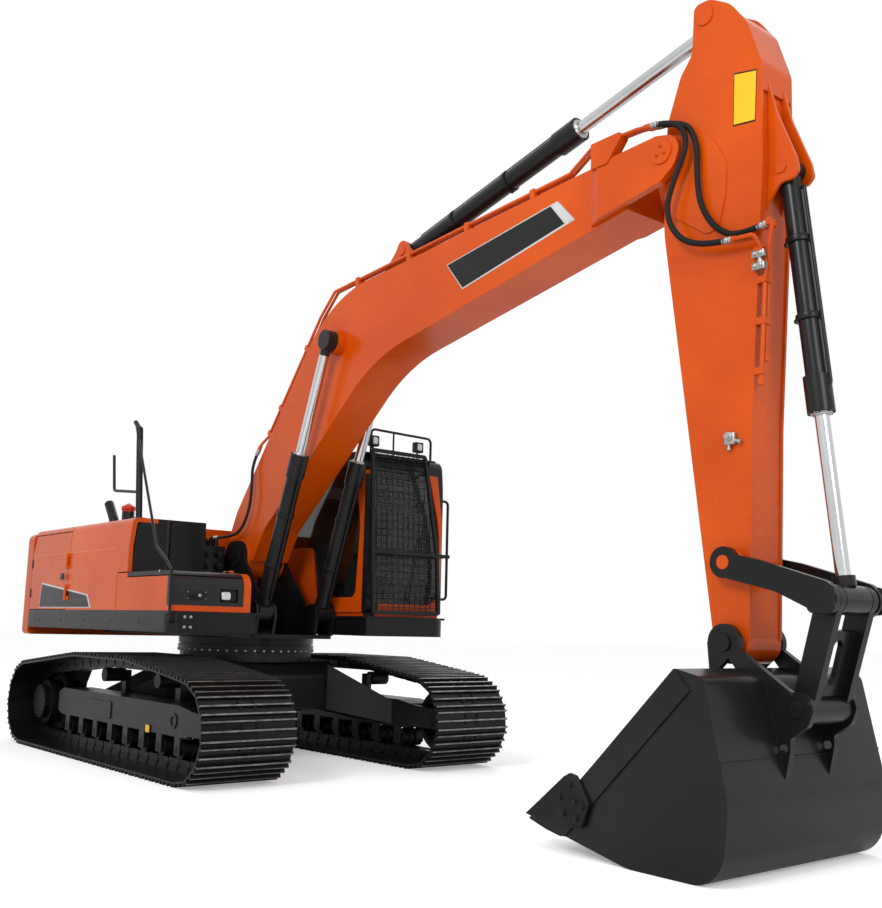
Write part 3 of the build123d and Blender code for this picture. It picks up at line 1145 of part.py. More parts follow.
ARM_BACK = ((5835.0, 2400.0), (5945.0, 3950.0))
ARM_PIPE_Y = (-138.0, -104.0)


def arm_back(z, out=0.0):
    """X of the arm's back flange at a height, or of a point that stands off it."""
    (x0, z0), (x1, z1) = ARM_BACK
    return x0 + (x1 - x0) * (z - z0) / (z1 - z0) + 9 + out


def arm_pipes():
    """Two rigid oil lines down the arm's back flange from the tip hoses, on clamps."""
    stand = PIPE_RADIUS + 16
    long_y, short_y = ARM_PIPE_Y
    first = [TIP_HOSES[0][-1], toward_point(TIP_HOSES[0][-1], TIP_HOSES[0][-2], -150),
             (arm_back(3360, stand), long_y, 3360), (arm_back(2620, stand), long_y, 2620)]
    second = [TIP_HOSES[1][-1], toward_point(TIP_HOSES[1][-1], TIP_HOSES[1][-2], -40), (5985, -170, 3420),
              (arm_back(3290, stand), short_y, 3290), (arm_back(2760, stand), short_y, 2760)]
    line = pipe(first, PIPE_RADIUS, 22) + pipe(second, PIPE_RADIUS, 22)
    for z in (3230, 2990, 2700):
        x = arm_back(z)
        last_y = short_y if z > 2760 else long_y
        clamp_y = (long_y - PIPE_CLAMP, last_y + PIPE_CLAMP)
        line += block((x - 20, x + stand + 17), clamp_y, (z - 20, z + 20))
    for points in (first, second):
        line += fitting(points, 40) + fitting(points[::-1], 30)
    line += block((5896, 5952), (-192, -150), (3388, 3414))
    line += block((5880, 6024), (-180, -150), (3512, 3552)) + block((5994, 6024), (-216, -170), (3516, 3556))
    return line - side_plate(ARM_OUTLINE, -ARM_HALF, ARM_HALF)


BARREL_PIPE = 11.0


def cylinder_barrel(base, top, y, radius, gland, eye_half, eye_radius, length, pipe_side):
    """Barrel with its base eye, the wider head that holds the rod's seal, and its oil pipe."""
    start, end = toward(base, top, eye_radius - 12), toward(base, top, length)
    collar = toward(base, top, length - 210)
    tube = bar((start[0], y, start[1]), (end[0], y, end[1]), radius)
    tube += bar((collar[0], y, collar[1]), (end[0], y, end[1]), gland)
    aside = pipe_side * (radius + 20)
    route = [(eye_radius + 60, pipe_side * (radius - 5)), (eye_radius + 60, aside), (length - 160, aside),
             (length - 160, pipe_side * (gland - 5))]
    points = [toward(base, top, along, off) for along, off in route]
    tube += pipe([(x, y, z) for x, z in points[:3]], BARREL_PIPE, 14)
    tube += bar((points[2][0], y, points[2][1]), (points[3][0], y, points[3][1]), BARREL_PIPE + 6)
    return tube + cross_pin(base, eye_radius, y - eye_half, y + eye_half)


def cylinder_rod(base, top, y, radius, eye_half, eye_radius, length):
    """Chromed rod with the eye that takes the moving end's pin."""
    near, end = toward(top, base, length), toward(top, base, eye_radius - 10)
    rod = bar((near[0], y, near[1]), (end[0], y, end[1]), radius)
    neck = toward(top, base, eye_radius + 45)
    rod += bar((neck[0], y, neck[1]), (end[0], y, end[1]), max(radius, min(radius + 22, eye_half - 3)))
    return rod + cross_pin(top, eye_radius, y - eye_half, y + eye_half)


def cylinder(base, top, y, radius, gland, rod_radius, base_eye, rod_eye, pin, length, rod_length, pipe_side):
    """Barrel and rod of a hydraulic cylinder; each eye is (half width, radius)."""
    barrel = cylinder_barrel(base, top, y, radius, gland, base_eye[0], base_eye[1], length, pipe_side)
    barrel -= bore(base, pin + SHAFT_GAP)
    rod = cylinder_rod(base, top, y, rod_radius, rod_eye[0], rod_eye[1], rod_length)
    back, front = toward(base, top, base_eye[1] + 20), toward(base, top, length + 1)
    barrel -= bar((back[0], y, back[1]), (front[0], y, front[1]), rod_radius + RUNNING_GAP)
    return barrel, rod


def boom_cylinders():
    """Barrels and rods of the pair that lifts the boom."""
    pairs = []
    for side in (-1, 1):
        pairs.append(cylinder(
            BOOM_BASE_PIN, BOOM_ROD_PIN, side * BOOM_CYLINDER_Y, BOOM_BARREL_RADIUS, 82, 43,
            (68, 88), (45, 88), BOOM_BASE_SHAFT, 1460, 1520, 1,
        ))
    return Compound([pair[0] for pair in pairs]), Compound([pair[1] for pair in pairs])


def rocker_links():
    """Two side levers from the arm to the pin that the bucket cylinder pushes, with flanged pin caps."""
    (x0, z0), (x1, z1) = ROCKER_PIN, LINK_TOP_PIN
    lever = side_plate([
        (x0 - 60, z0 + 70, 60), (x0 - 60, z0 - 70, 60), (x0 + 330, z0 - 165, 300), (x1 - 60, z1 - 60, 80),
        (x1 + 70, z1 - 60, 60), (x1 + 60, z1 + 80, 70), (x0 + 220, z0 + 10, 400),
    ], ROCKER_INNER, ROCKER_OUTER)
    lever += cross_pin(ROCKER_PIN, 88, ROCKER_INNER, ROCKER_OUTER)
    lever += cross_pin(LINK_TOP_PIN, 85, ROCKER_INNER, ROCKER_OUTER)
    flange = [(x1 - 80, z1 - 75, 35), (x1 + 80, z1 - 75, 35), (x1 + 80, z1 + 75, 35), (x1 - 80, z1 + 75, 35)]
    lever += side_plate(flange, ROCKER_OUTER - 1, ROCKER_OUTER + 14)
    return both_sides(lever - bore(ROCKER_PIN, ROCKER_PIN_RADIUS + SHAFT_GAP))


LINK_WEB_LENGTH = 430.0
LINK_SLOT = (130.0, 380.0)


def bucket_link():
    """Forked link from the rocker's pin to the bucket's ears, its web pierced by a long slot."""
    (x0, z0), (x1, z1) = LINK_TOP_PIN, LINK_LOW_PIN
    lean = 70.0
    leg = [
        (x0 - lean, z0 - 10, 40), (x1 - lean + 5, z1, 40), (x1 + lean - 5, z1, 40), (x0 + lean, z0 - 10, 40),
    ]
    side = side_plate(leg, LINK_INNER, LINK_OUTER)
    link = both_sides(side + cross_pin(LINK_TOP_PIN, 80, LINK_INNER, LINK_OUTER))
    rows = [toward(LINK_LOW_PIN, LINK_TOP_PIN, along, aside) + (0,)
            for along, aside in ((50, -16), (50, 16), (LINK_WEB_LENGTH, 16), (LINK_WEB_LENGTH, -16))]
    web = side_plate(rows, -LINK_INNER - 2, LINK_INNER + 2)
    middle = toward(LINK_LOW_PIN, LINK_TOP_PIN, sum(LINK_SLOT) / 2)
    plane = Plane((middle[0], 0, middle[1]), x_dir=(x0 - x1, 0, z0 - z1), z_dir=(z0 - z1, 0, x1 - x0))
    web -= extrude(plane * SlotOverall(LINK_SLOT[1] - LINK_SLOT[0], 90), amount=60, both=True)
    link += web + cross_pin(LINK_LOW_PIN, 78, -LINK_OUTER, LINK_OUTER)
    return link - bore(LINK_LOW_PIN, LINK_PIN + SHAFT_GAP)


BUCKET_OUTLINE = [
    (5745, 1048, 10), (5925, 1010, 60), (6060, 400, 420), (6010, 1, 200), (5420, 1, 500), (4800, 132, 0),
    (4815, 162, 0),
]
BUCKET_INSIDE = [
    (5700, 1100, 0), (5765, 1020, 0), (5905, 992, 45), (6036, 400, 400), (5985, 25, 180), (5425, 25, 480),
    (4700, 178, 0),
]
BUCKET_EAR = [
    (5560, 1180, 0), (5575, 990, 0), (5740, 960, 0), (5930, 960, 0), (6000, 560, 0), (6010, 470, 0),
    (6035, 470, 10), (6075, 640, 60), (6075, 700, 30), (6180, 770, 60), (6215, 850, 60), (6190, 930, 60),
    (6080, 940, 60), (5765, 1150, 20), (5700, 1265, 20), (5600, 1250, 20),
]
SIDE_CUTTER = 12.0          # how far the band along a side plate's cutting edge stands out
SIDE_CUTTER_WIDTH = 145.0


def bucket():
    """Wrapper plate bent round two side plates, with ears for the arm and the link."""
    shell = side_plate(BUCKET_OUTLINE, -BUCKET_HALF, BUCKET_HALF)
    top, tip = BUCKET_OUTLINE[0][:2], BUCKET_OUTLINE[5][:2]
    band = [top + (0,), tip + (0,), toward(tip, top, 0, SIDE_CUTTER_WIDTH) + (0,),
            toward(tip, top, 1310, SIDE_CUTTER_WIDTH) + (0,)]
    cutter = side_plate(band, BUCKET_HALF - 1, BUCKET_HALF + SIDE_CUTTER)
    shell += both_sides(cutter & side_plate(BUCKET_OUTLINE, 0, BUCKET_HALF + SIDE_CUTTER))
    shell -= side_plate(BUCKET_INSIDE, BUCKET_WALL - BUCKET_HALF, BUCKET_HALF - BUCKET_WALL)
    ear = side_plate(BUCKET_EAR, EAR_INNER, EAR_OUTER)
    for pin, radius in ((BUCKET_PIN, 105), (LINK_LOW_PIN, 88)):
        ear += cross_pin(pin, radius, EAR_INNER, EAR_OUTER)
    ear -= side_plate(BUCKET_INSIDE, 0, BUCKET_HALF - BUCKET_WALL)
    shell += both_sides(ear - bore(LIFT_EYE, LIFT_EYE_RADIUS))
    pin_end = EAR_OUTER + 14
    shell += cross_pin(BUCKET_PIN, BUCKET_PIN_RADIUS, -pin_end, pin_end)
    return shell + cross_pin(LINK_LOW_PIN, LINK_PIN, -pin_end, pin_end)


TOOTH_COUNT = 5
TOOTH_OUTLINE = [
    (4640, 150, 8), (4790, 106, 10), (4905, 84, 0), (4910, 106, 0), (4960, 110, 0), (4960, 150, 0),
    (4880, 212, 40), (4770, 200, 40),
]


def bucket_teeth():
    """Cast points on their adapters, along the lip."""
    lip = [(4799.6, 131.6, 0), (5300, 26.0, 0), (5305, 51.1, 0), (4811.1, 155, 0)]
    pitch = (2 * BUCKET_HALF - 150) / (TOOTH_COUNT - 1)
    teeth = []
    for i in range(TOOTH_COUNT):
        y = 75 - BUCKET_HALF + i * pitch
        teeth.append(side_plate(TOOTH_OUTLINE, y - 48, y + 48) - side_plate(lip, y - 60, y + 60))
    return Compound([solid for tooth in teeth for solid in tooth.solids()])


# ---- build -------------------------------------------------------------------------------------------
for label, side in (("left", 1), ("right", -1)):
    save(track(side), f"track_{label}")
    save(track_frame(side), f"track_frame_{label}")
    save(idler(side), f"idler_{label}")
    save(sprocket(side), f"sprocket_{label}")
    save(track_rollers(side), f"track_rollers_{label}")
save(carrier_rollers(), "carrier_rollers")
save(car_body(), "car_body")
save(slew_ring(), "slew_ring")
save(revolving_frame(), "revolving_frame")
save(counterweight(), "counterweight")
save(hood_and_deck(), "top_deck")
save(engine_hood(), "engine_hood")
save(engine_block(), "engine_block")
save(fuel_tank(), "fuel_tank")
save(control_valve(), "control_valve")
save(right_front_panel(), "right_front_panel")
save(side_door(-1)[0], "right_side_door")
save(left_side_door(), "left_side_door")
save(left_front_panel(), "left_front_panel")
save(filler_cap(), "filler_cap")
save(tool_box(), "tool_box")
save(tool_box_lid(), "tool_box_lid")
save(work_lamp(), "work_lamp")
save(cab_shell(), "cab_shell")
save(cab_door(), "cab_door")
save(cab_glass(), "cab_glass")
save(door_glass(), "door_glass")
save(seat(), "seat")
save(front_guard(), "front_guard")
save(grab_rail(), "cab_grab_rail")
save(light_rail(), "light_rail")
save(handrails(), "handrails")
save(exhaust_stack(), "exhaust_stack")
save(boom(), "boom")
save(boom_pipes(), "boom_pipes")
save(arm(), "arm")
save(arm_pipes(), "arm_pipes")

barrels, rods = boom_cylinders()
save(barrels, "boom_cylinder_barrels")
save(rods, "boom_cylinder_rods")
barrel, rod = cylinder(ARM_BASE_PIN, ARM_ROD_PIN, 0, 75, 90, 47, (76, 80), (50, 85), 42, 1960, 1800, -1)
save(barrel, "arm_cylinder_barrel")
save(rod, "arm_cylinder_rod")
barrel, rod = cylinder(BUCKET_BASE_PIN, LINK_TOP_PIN, 0, 60, 76, 40, (60, 68), (125, 80), 36, 1460, 1600, -1)
save(barrel, "bucket_cylinder_barrel")
save(rod, "bucket_cylinder_rod")
save(rocker_links(), "rocker_links")
save(bucket_link(), "bucket_link")
save(bucket(), "bucket")
save(bucket_teeth(), "bucket_teeth")
save(hose(TIP_HOSES[0], HOSE_RADIUS), "tip_hose_a")
save(hose(TIP_HOSES[1], HOSE_RADIUS), "tip_hose_b")
save(hose(FOOT_HOSE, HOSE_RADIUS - 2), "foot_hose")
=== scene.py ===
"""Crawler excavator: the look of every piece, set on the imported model's frame, in metres."""
import math

import bpy
import bmesh
from mathutils import Matrix, Vector


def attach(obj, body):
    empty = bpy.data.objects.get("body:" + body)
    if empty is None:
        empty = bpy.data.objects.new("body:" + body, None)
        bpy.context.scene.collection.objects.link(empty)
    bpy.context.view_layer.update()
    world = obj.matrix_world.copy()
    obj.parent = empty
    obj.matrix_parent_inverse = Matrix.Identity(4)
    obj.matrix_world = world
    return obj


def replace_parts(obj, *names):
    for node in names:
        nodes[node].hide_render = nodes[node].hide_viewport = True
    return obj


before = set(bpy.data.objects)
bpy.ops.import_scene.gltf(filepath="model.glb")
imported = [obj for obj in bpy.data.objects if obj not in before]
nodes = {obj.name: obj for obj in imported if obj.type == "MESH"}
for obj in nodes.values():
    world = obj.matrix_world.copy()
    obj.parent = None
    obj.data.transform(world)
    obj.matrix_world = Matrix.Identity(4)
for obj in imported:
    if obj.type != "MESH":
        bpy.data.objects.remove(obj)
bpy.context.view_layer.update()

# ---- Camera --------------------------------------------------------------------------
# A normal lens at a standing person's waist, ahead of the machine and to its right, turned up to the boom.
# It is rolled a little, as a hand-held camera is.


def new_object(name, data):
    made = bpy.data.objects.new(name, data)
    bpy.context.collection.objects.link(made)
    return made


yaw, pitch, roll = 0.6856, 0.1575, 0.02365
ahead = Vector((-math.cos(yaw) * math.cos(pitch), math.sin(yaw) * math.cos(pitch), math.sin(pitch)))
level = Vector((math.sin(yaw), math.cos(yaw), 0))
upright = level.cross(ahead)
right = level * math.cos(roll) + upright * math.sin(roll)
up = upright * math.cos(roll) - level * math.sin(roll)
lens = bpy.data.cameras.new("camera")
lens.sensor_width = 36.0
lens.lens = 43.13
lens.clip_end = 300
camera = new_object("camera", lens)
turn = Matrix((right, up, -ahead)).transposed().to_4x4()
camera.matrix_world = Matrix.Translation((9.386, -5.315, 1.232)) @ turn
bpy.context.scene.camera = camera

# ---- Hydraulic hoses -----------------------------------------------------------------
# Two hoses loop from the boom's oil lines round the elbow to the arm, and one drops from the boom's foot to
# the valve bank. They are braided rubber with a matt black cover and spiral guards, crimped into steel ends.
HOSE_ROUTES = {
    "tip_hose_a": [
        (5.205, -0.238, 4.385), (5.403, -0.238, 4.357), (5.487, -0.238, 4.176), (5.375, -0.238, 3.985),
        (5.300, -0.238, 3.785), (5.395, -0.238, 3.585), (5.600, -0.238, 3.490), (5.780, -0.238, 3.480)],
    "tip_hose_b": [
        (5.225, -0.200, 4.385), (5.430, -0.200, 4.357), (5.520, -0.200, 4.185), (5.515, -0.200, 3.970),
        (5.535, -0.200, 3.770), (5.645, -0.200, 3.590), (5.800, -0.200, 3.500), (5.990, -0.200, 3.530)],
    "foot_hose": [
        (0.430, -0.212, 2.845), (0.350, -0.230, 2.715), (0.375, -0.240, 2.520), (0.370, -0.245, 2.300),
        (0.240, -0.252, 2.080), (0.000, -0.260, 2.035), (-0.200, -0.300, 2.035)],
}
HOSE_FACTS = {"tip_hose_a": ("boom", 0.032, 1.401), "tip_hose_b": ("boom", 0.032, 1.358),
              "foot_hose": ("upper", 0.028, 1.244)}


def feed(tree, node, inputs):
    """Link each named input to the socket, or the first output of the node, it is given, or set its value."""
    for label, value in inputs.items():
        if isinstance(value, bpy.types.Node):
            value = value.outputs[0]
        if isinstance(value, bpy.types.NodeSocket):
            tree.links.new(value, node.inputs[label])
        else:
            node.inputs[label].default_value = value


def new_node(tree, kind, inputs=None, **settings):
    """Node with its settings made and its inputs fed."""
    node = tree.nodes.new(kind)
    for label, value in settings.items():
        setattr(node, label, value)
    feed(tree, node, inputs or {})
    return node


def new_material(name):
    material = bpy.data.materials.new(name)
    material.use_nodes = True
    tree = material.node_tree
    return material, tree, tree.nodes["Principled BSDF"]


def math_node(tree, operation, first, second):
    return new_node(tree, "ShaderNodeMath", {0: first, 1: second}, operation=operation)


def object_place(tree):
    return new_node(tree, "ShaderNodeTexCoord").outputs["Object"]


def object_noise(tree, scale, detail=4.0):
    return new_node(tree, "ShaderNodeTexNoise", {
        "Scale": scale, "Detail": detail, "Vector": object_place(tree)})


def blend_ramp(tree, factor, low, high, low_colour, high_colour):
    ramp = new_node(tree, "ShaderNodeValToRGB", {"Fac": factor})
    for stop, place, colour in zip(ramp.color_ramp.elements, (low, high), (low_colour, high_colour)):
        stop.position = place
        stop.color = (*colour, 1)
    return ramp


EDGE_RADIUS = 0.004
GRAIN_DEPTH = 0.002


def coated_metal(name, colour, shade, roughness, metallic=0.0, coat=0.0, grain=0.05, grain_scale=90.0,
                 drift_scale=1.3):
    """Painted or bare metal: colour drifts softly to a shade, fine surface grain, edges slightly broken."""
    material, tree, skin = new_material(name)
    drift = object_noise(tree, drift_scale, 5.0)
    rough = new_node(tree, "ShaderNodeMapRange", {
        "To Min": roughness * 0.8, "To Max": roughness * 1.25, "Value": object_noise(tree, 9.0)})
    rounded = new_node(tree, "ShaderNodeBevel", {"Radius": EDGE_RADIUS})
    peel = new_node(tree, "ShaderNodeBump", {
        "Strength": grain, "Distance": GRAIN_DEPTH, "Height": object_noise(tree, grain_scale, 2.0),
        "Normal": rounded})
    feed(tree, skin, {
        "Base Color": blend_ramp(tree, drift, 0.35, 0.7, shade, colour), "Metallic": metallic,
        "Coat Weight": coat, "Coat Roughness": 0.12, "Specular IOR Level": 0.18,
        "Roughness": rough, "Normal": peel})
    return material


def add_piece(name, mesh, body, *materials):
    piece = new_object(name, mesh)
    for material in materials:
        mesh.materials.append(material)
    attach(piece, body)
    return piece


def span_rings(bm, rings, closed=False, material_index=0):
    """Walls between rings of vertices, closed on themselves or else capped; the walls are handed back."""
    walls = []
    for lower, higher in zip(rings, rings[1:] + rings[:1] if closed else rings[1:]):
        for i in range(len(lower)):
            j = (i + 1) % len(lower)
            walls.append(bm.faces.new((lower[i], lower[j], higher[j], higher[i])))
    caps = [] if closed else [bm.faces.new(rings[0][::-1]), bm.faces.new(rings[-1])]
    for face in walls + caps:
        face.material_index = material_index
    return walls


def turned(bm, profile, start, along, sides=24, closed=False):
    """Lathe a profile of (distance, radius) rows about a line from start, capped or closed into a ring."""
    along = Vector(along).normalized()
    side = along.orthogonal().normalized()
    other = along.cross(side)
    rings = []
    for distance, radius in profile:
        centre = Vector(start) + along * distance
        angles = [2 * math.pi * i / sides for i in range(sides)]
        rings.append([bm.verts.new(centre + (side * math.cos(a) + other * math.sin(a)) * radius)
                      for a in angles])
    span_rings(bm, rings, closed)


def mesh_from(bm, name, smooth=35):
    bmesh.ops.recalc_face_normals(bm, faces=bm.faces)
    mesh = bpy.data.meshes.new(name)
    bm.to_mesh(mesh)
    bm.free()
    if smooth:
        mesh.shade_smooth()
        mesh.set_sharp_from_angle(angle=math.radians(smooth))
    return mesh


def formed_piece(name, bm, body, *materials, smooth=35):
    return add_piece(name, mesh_from(bm, name, smooth), body, *materials)


def nodes_result(name, source, tree, inputs):
    """Run a node tree on an object once, with its named inputs, and hand back the plain mesh."""
    modifier = source.modifiers.new(name, "NODES")
    modifier.node_group = tree
    for item in tree.interface.items_tree:
        if item.item_type == "SOCKET" and item.in_out == "INPUT" and item.name in inputs:
            modifier[item.identifier] = inputs[item.name]
    bpy.context.view_layer.update()
    evaluated = source.evaluated_get(bpy.context.evaluated_depsgraph_get())
    mesh = bpy.data.meshes.new_from_object(evaluated)
    source.modifiers.remove(modifier)
    mesh.name = name
    # Set Material can leave an empty slot in front of its own.
    if mesh.materials[0] is None:
        mesh.materials.pop(index=0)
    return mesh


def new_tree(name, **sockets):
    """Geometry node tree with a geometry input and output, and the named inputs given as kinds of socket."""
    tree = bpy.data.node_groups.new(name, "GeometryNodeTree")
    rows = [("Geometry", "INPUT", "Geometry"), *((label, "INPUT", kind) for label, kind in sockets.items()),
            ("Geometry", "OUTPUT", "Geometry")]
    for label, way, kind in rows:
        tree.interface.new_socket(label, in_out=way, socket_type="NodeSocket" + kind)
    return tree, tree.nodes.new("NodeGroupInput"), tree.nodes.new("NodeGroupOutput")


def finish_tree(tree, geometry, material, leave):
    """Close a tree with Realize Instances and Set Material."""
    real = new_node(tree, "GeometryNodeRealizeInstances", {"Geometry": geometry})
    feed(tree, leave, {"Geometry": new_node(tree, "GeometryNodeSetMaterial", {
        "Geometry": real, "Material": material})})


rubber = coated_metal("hose_cover", (0.018, 0.018, 0.018), (0.010, 0.010, 0.010), 0.62, grain=0.25,
                      grain_scale=400.0)
plated = coated_metal("zinc_plated_steel", (0.50, 0.50, 0.49), (0.36, 0.36, 0.35), 0.34, metallic=0.9,
                      grain_scale=220.0)

guard_tree, enter, leave = new_tree("spiral_guard", Pitch="Float", Ring="Float")
spread = new_node(guard_tree, "GeometryNodeCurveToPoints", {
    "Curve": enter.outputs["Geometry"], "Length": enter.outputs["Pitch"]}, mode="LENGTH")
ring_path = new_node(guard_tree, "GeometryNodeCurvePrimitiveCircle", {
    "Resolution": 14, "Radius": enter.outputs["Ring"]})
ring_wire = new_node(guard_tree, "GeometryNodeCurvePrimitiveCircle", {"Resolution": 5, "Radius": 0.0036})
coil = new_node(guard_tree, "GeometryNodeCurveToMesh", {"Curve": ring_path, "Profile Curve": ring_wire})
coils = new_node(guard_tree, "GeometryNodeInstanceOnPoints", {
    "Points": spread, "Rotation": spread.outputs["Rotation"], "Instance": coil})
finish_tree(guard_tree, coils, rubber, leave)
FERRULE = [(-0.004, 0.019), (0.0, 0.021), (0.012, 0.021), (0.015, 0.0185), (0.02, 0.021), (0.04, 0.021),
           (0.044, 0.0175), (0.06, 0.0165)]


def hose_curve(name, points):
    data = bpy.data.curves.new(name, "CURVE")
    data.dimensions = "3D"
    spline = data.splines.new("NURBS")
    spline.points.add(len(points) - 1)
    for point, place in zip(spline.points, points):
        point.co = (*place, 1)
    spline.order_u = 3
    spline.use_endpoint_u = True
    spline.resolution_u = 24
    return new_object(name, data)


for name, route in HOSE_ROUTES.items():
    body, diameter, length = HOSE_FACTS[name]
    line = hose_curve(name + "_line", route)
    if name.startswith("tip"):
        guard = nodes_result(name + "_guard", line, guard_tree, {"Pitch": 0.016, "Ring": diameter / 2})
        add_piece(name + "_guard", guard, body)
    bm = bmesh.new()
    for end, inner in ((route[0], route[1]), (route[-1], route[-2])):
        turned(bm, FERRULE, end, Vector(inner) - Vector(end))
    formed_piece(name + "_ends", bm, body, plated)
    line.data.bevel_depth = diameter / 2
    line.data.bevel_resolution = 6
    line.data.materials.append(rubber)
    line.name = name + "_cover"
    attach(line, body)
    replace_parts(line, name)

# ---- Orange panels, boom and arm -----------------------------------------------------
# Pressed steel panels and welded box sections in a bright orange topcoat, glossy, a little orange-peeled.
# Doors hang on barrel hinges behind and close on a flush latch in front. A pressed crease runs along the
# flank, its bead painted a lighter orange as a painted highlight.
orange = coated_metal("orange_topcoat", (0.60, 0.078, 0.001), (0.50, 0.058, 0.001), 0.25, coat=0.08, grain=0.04)
satin_black = coated_metal("satin_black", (0.009, 0.009, 0.0095), (0.006, 0.006, 0.0065), 0.34, coat=0.05)


def finish(material, *names):
    for name in names:
        slots = nodes[name].data.materials
        slots.clear()
        slots.append(material)


finish(orange, "top_deck", "engine_hood", "right_front_panel", "right_side_door", "left_side_door",
       "left_front_panel", "boom", "arm", "boom_pipes", "arm_pipes")

bolt_tree, enter, leave = new_tree("bolt_heads", Radius="Float", Height="Float", Finish="Material")
washer = new_node(bolt_tree, "GeometryNodeMeshCylinder", {"Vertices": 16, "Radius": 1.25, "Depth": 0.3})
head = new_node(bolt_tree, "GeometryNodeMeshCone", {
    "Vertices": 6, "Radius Top": 0.86, "Radius Bottom": 1.0, "Depth": 0.85})
pair = new_node(bolt_tree, "GeometryNodeJoinGeometry", {"Geometry": washer})
feed(bolt_tree, pair, {"Geometry": head})
facing = new_node(bolt_tree, "GeometryNodeInputNamedAttribute", {"Name": "facing"}, data_type="FLOAT_VECTOR")
aim = new_node(bolt_tree, "FunctionNodeAlignRotationToVector", {"Vector": facing}, axis="Z")
size = new_node(bolt_tree, "ShaderNodeCombineXYZ", {
    "X": enter.outputs["Radius"], "Y": enter.outputs["Radius"], "Z": enter.outputs["Height"]})
bolts = new_node(bolt_tree, "GeometryNodeInstanceOnPoints", {
    "Points": enter.outputs["Geometry"], "Instance": pair, "Rotation": aim, "Scale": size})
finish_tree(bolt_tree, bolts, enter.outputs["Finish"], leave)


def marked_points(name, label, rows):
    """Loose points at (place, vector) rows, each with its vector in a named attribute."""
    points = bpy.data.meshes.new(name)
    points.from_pydata([place for place, vector in rows], [], [])
    marks = points.attributes.new(label, "FLOAT_VECTOR", "POINT")
    for mark, (place, vector) in zip(marks.data, rows):
        mark.vector = vector
    return new_object(name + "_points", points)


def bolt_set(name, body, material, rows, radius=0.010, height=0.010):
    """Hexagon bolt heads on washers at (place, way it faces) rows."""
    seed = marked_points(name, "facing", rows)
    mesh = nodes_result(name, seed, bolt_tree, {"Radius": radius, "Height": height, "Finish": material})
    bpy.data.objects.remove(seed)
    return add_piece(name, mesh, body)


def plate_form(bm, rows, facing, thick, bevel=0.0, material_index=0):
    """Flat plate from its outline's points, thick along facing, the outer edge broken by bevel."""
    facing = Vector(facing).normalized()
    rows = [Vector(row) for row in rows]
    middle = sum(rows, Vector()) / len(rows)
    rings = [rows, [p + facing * (thick - bevel) for p in rows]]
    if bevel:
        rings.append([p + (middle - p).normalized() * bevel + facing * thick for p in rows])
    span_rings(bm, [[bm.verts.new(p) for p in ring] for ring in rings], material_index=material_index)


def box_form(bm, low, high, bevel):
    """Box between two corners with broken edges."""
    made = bmesh.ops.create_cube(bm, size=1.0)
    middle = (Vector(low) + Vector(high)) / 2
    for vert in made["verts"]:
        vert.co = Vector([v * (b - a) for v, a, b in zip(vert.co, low, high)]) + middle
    edges = list(dict.fromkeys(e for v in made["verts"] for e in v.link_edges))
    bmesh.ops.bevel(bm, geom=edges, offset=bevel, segments=2, affect="EDGES", profile=0.5)


def tube_form(bm, points, radius, sides=12):
    """Round bar along a bent line, mitred at its corners."""
    points = [Vector(p) for p in points]
    side = (points[1] - points[0]).orthogonal().normalized()
    rings = []
    for i, point in enumerate(points):
        back = (point - points[i - 1]).normalized() if i else (points[1] - point).normalized()
        on = (points[i + 1] - point).normalized() if i + 1 < len(points) else back
        along = (back + on).normalized()
        side = (side - along * side.dot(along)).normalized()
        other = along.cross(side)
        wide = 1 / max(0.4, along.dot(on))
        rings.append([bm.verts.new(point + (side * math.cos(a) + other * math.sin(a)) * radius * wide)
                      for a in (2 * math.pi * k / sides for k in range(sides))])
    span_rings(bm, rings)


SIDES = ((-1, "right"), (1, "left"))
HINGE_X, HINGE_Y, LATCH_Y = -2.150, 1.352, 1.384
for side, label in SIDES:
    bm = bmesh.new()
    for z in (1.48, 1.78):
        turned(bm, [(-0.045, 0.010), (-0.042, 0.012), (0.042, 0.012), (0.045, 0.010)],
               (HINGE_X, side * HINGE_Y, z), (0, 0, 1), 12)
    box_form(bm, (-1.262, side * LATCH_Y - 0.006, 1.60), (-1.182, side * LATCH_Y + 0.004, 1.66), 0.003)
    turned(bm, [(0, 0.016), (0.004, 0.016), (0.006, 0.013)], (-1.205, side * (LATCH_Y + 0.002), 1.63),
           (0, side, 0), 16)
    formed_piece(label + "_door_latch", bm, label + "_door", satin_black)

# The crease bead's lighter orange is a painted highlight, standing in for the light caught along the crease.
crease_highlight_paint = coated_metal("crease_highlight_paint", (0.70, 0.150, 0.010), (0.62, 0.110, 0.006), 0.22, coat=0.2, grain=0.0)
CREASE_Y, CREASE_Z = 1.3515, 1.857
for side, label in SIDES:
    for part, body, ends in (("rear", label + "_door", (-2.146, -1.159)), ("front", "upper", (-1.142, 0.027))):
        bm = bmesh.new()
        tube_form(bm, [(x, side * CREASE_Y, CREASE_Z) for x in ends], 0.0062, 10)
        formed_piece(f"{label}_{part}_crease", bm, body, crease_highlight_paint)

slats, enter, leave = new_tree("louvre_slats", Rows="Int", Rise="Float")
offset = new_node(slats, "ShaderNodeCombineXYZ", {"Z": enter.outputs["Rise"]})
line = new_node(slats, "GeometryNodeMeshLine", {
    "Count": enter.outputs["Rows"], "Offset": offset}, mode="OFFSET")
place = new_node(slats, "GeometryNodeInstanceOnPoints", {"Points": line, "Instance": enter.outputs["Geometry"]})
finish_tree(slats, place, satin_black, leave)
bm = bmesh.new()
SLAT_HALF, SLAT_ROOT, SLAT_EDGE = 0.095, (1.352, 1.470), (1.376, 1.484)
for x in (-1.95, -1.69, -1.43):
    plate_form(bm, [(x - SLAT_HALF, *SLAT_ROOT), (x + SLAT_HALF, *SLAT_ROOT), (x + SLAT_HALF, *SLAT_EDGE),
                    (x - SLAT_HALF, *SLAT_EDGE)], (0, -0.5, 0.86), 0.003)
blade = new_object("blade", mesh_from(bm, "blade"))
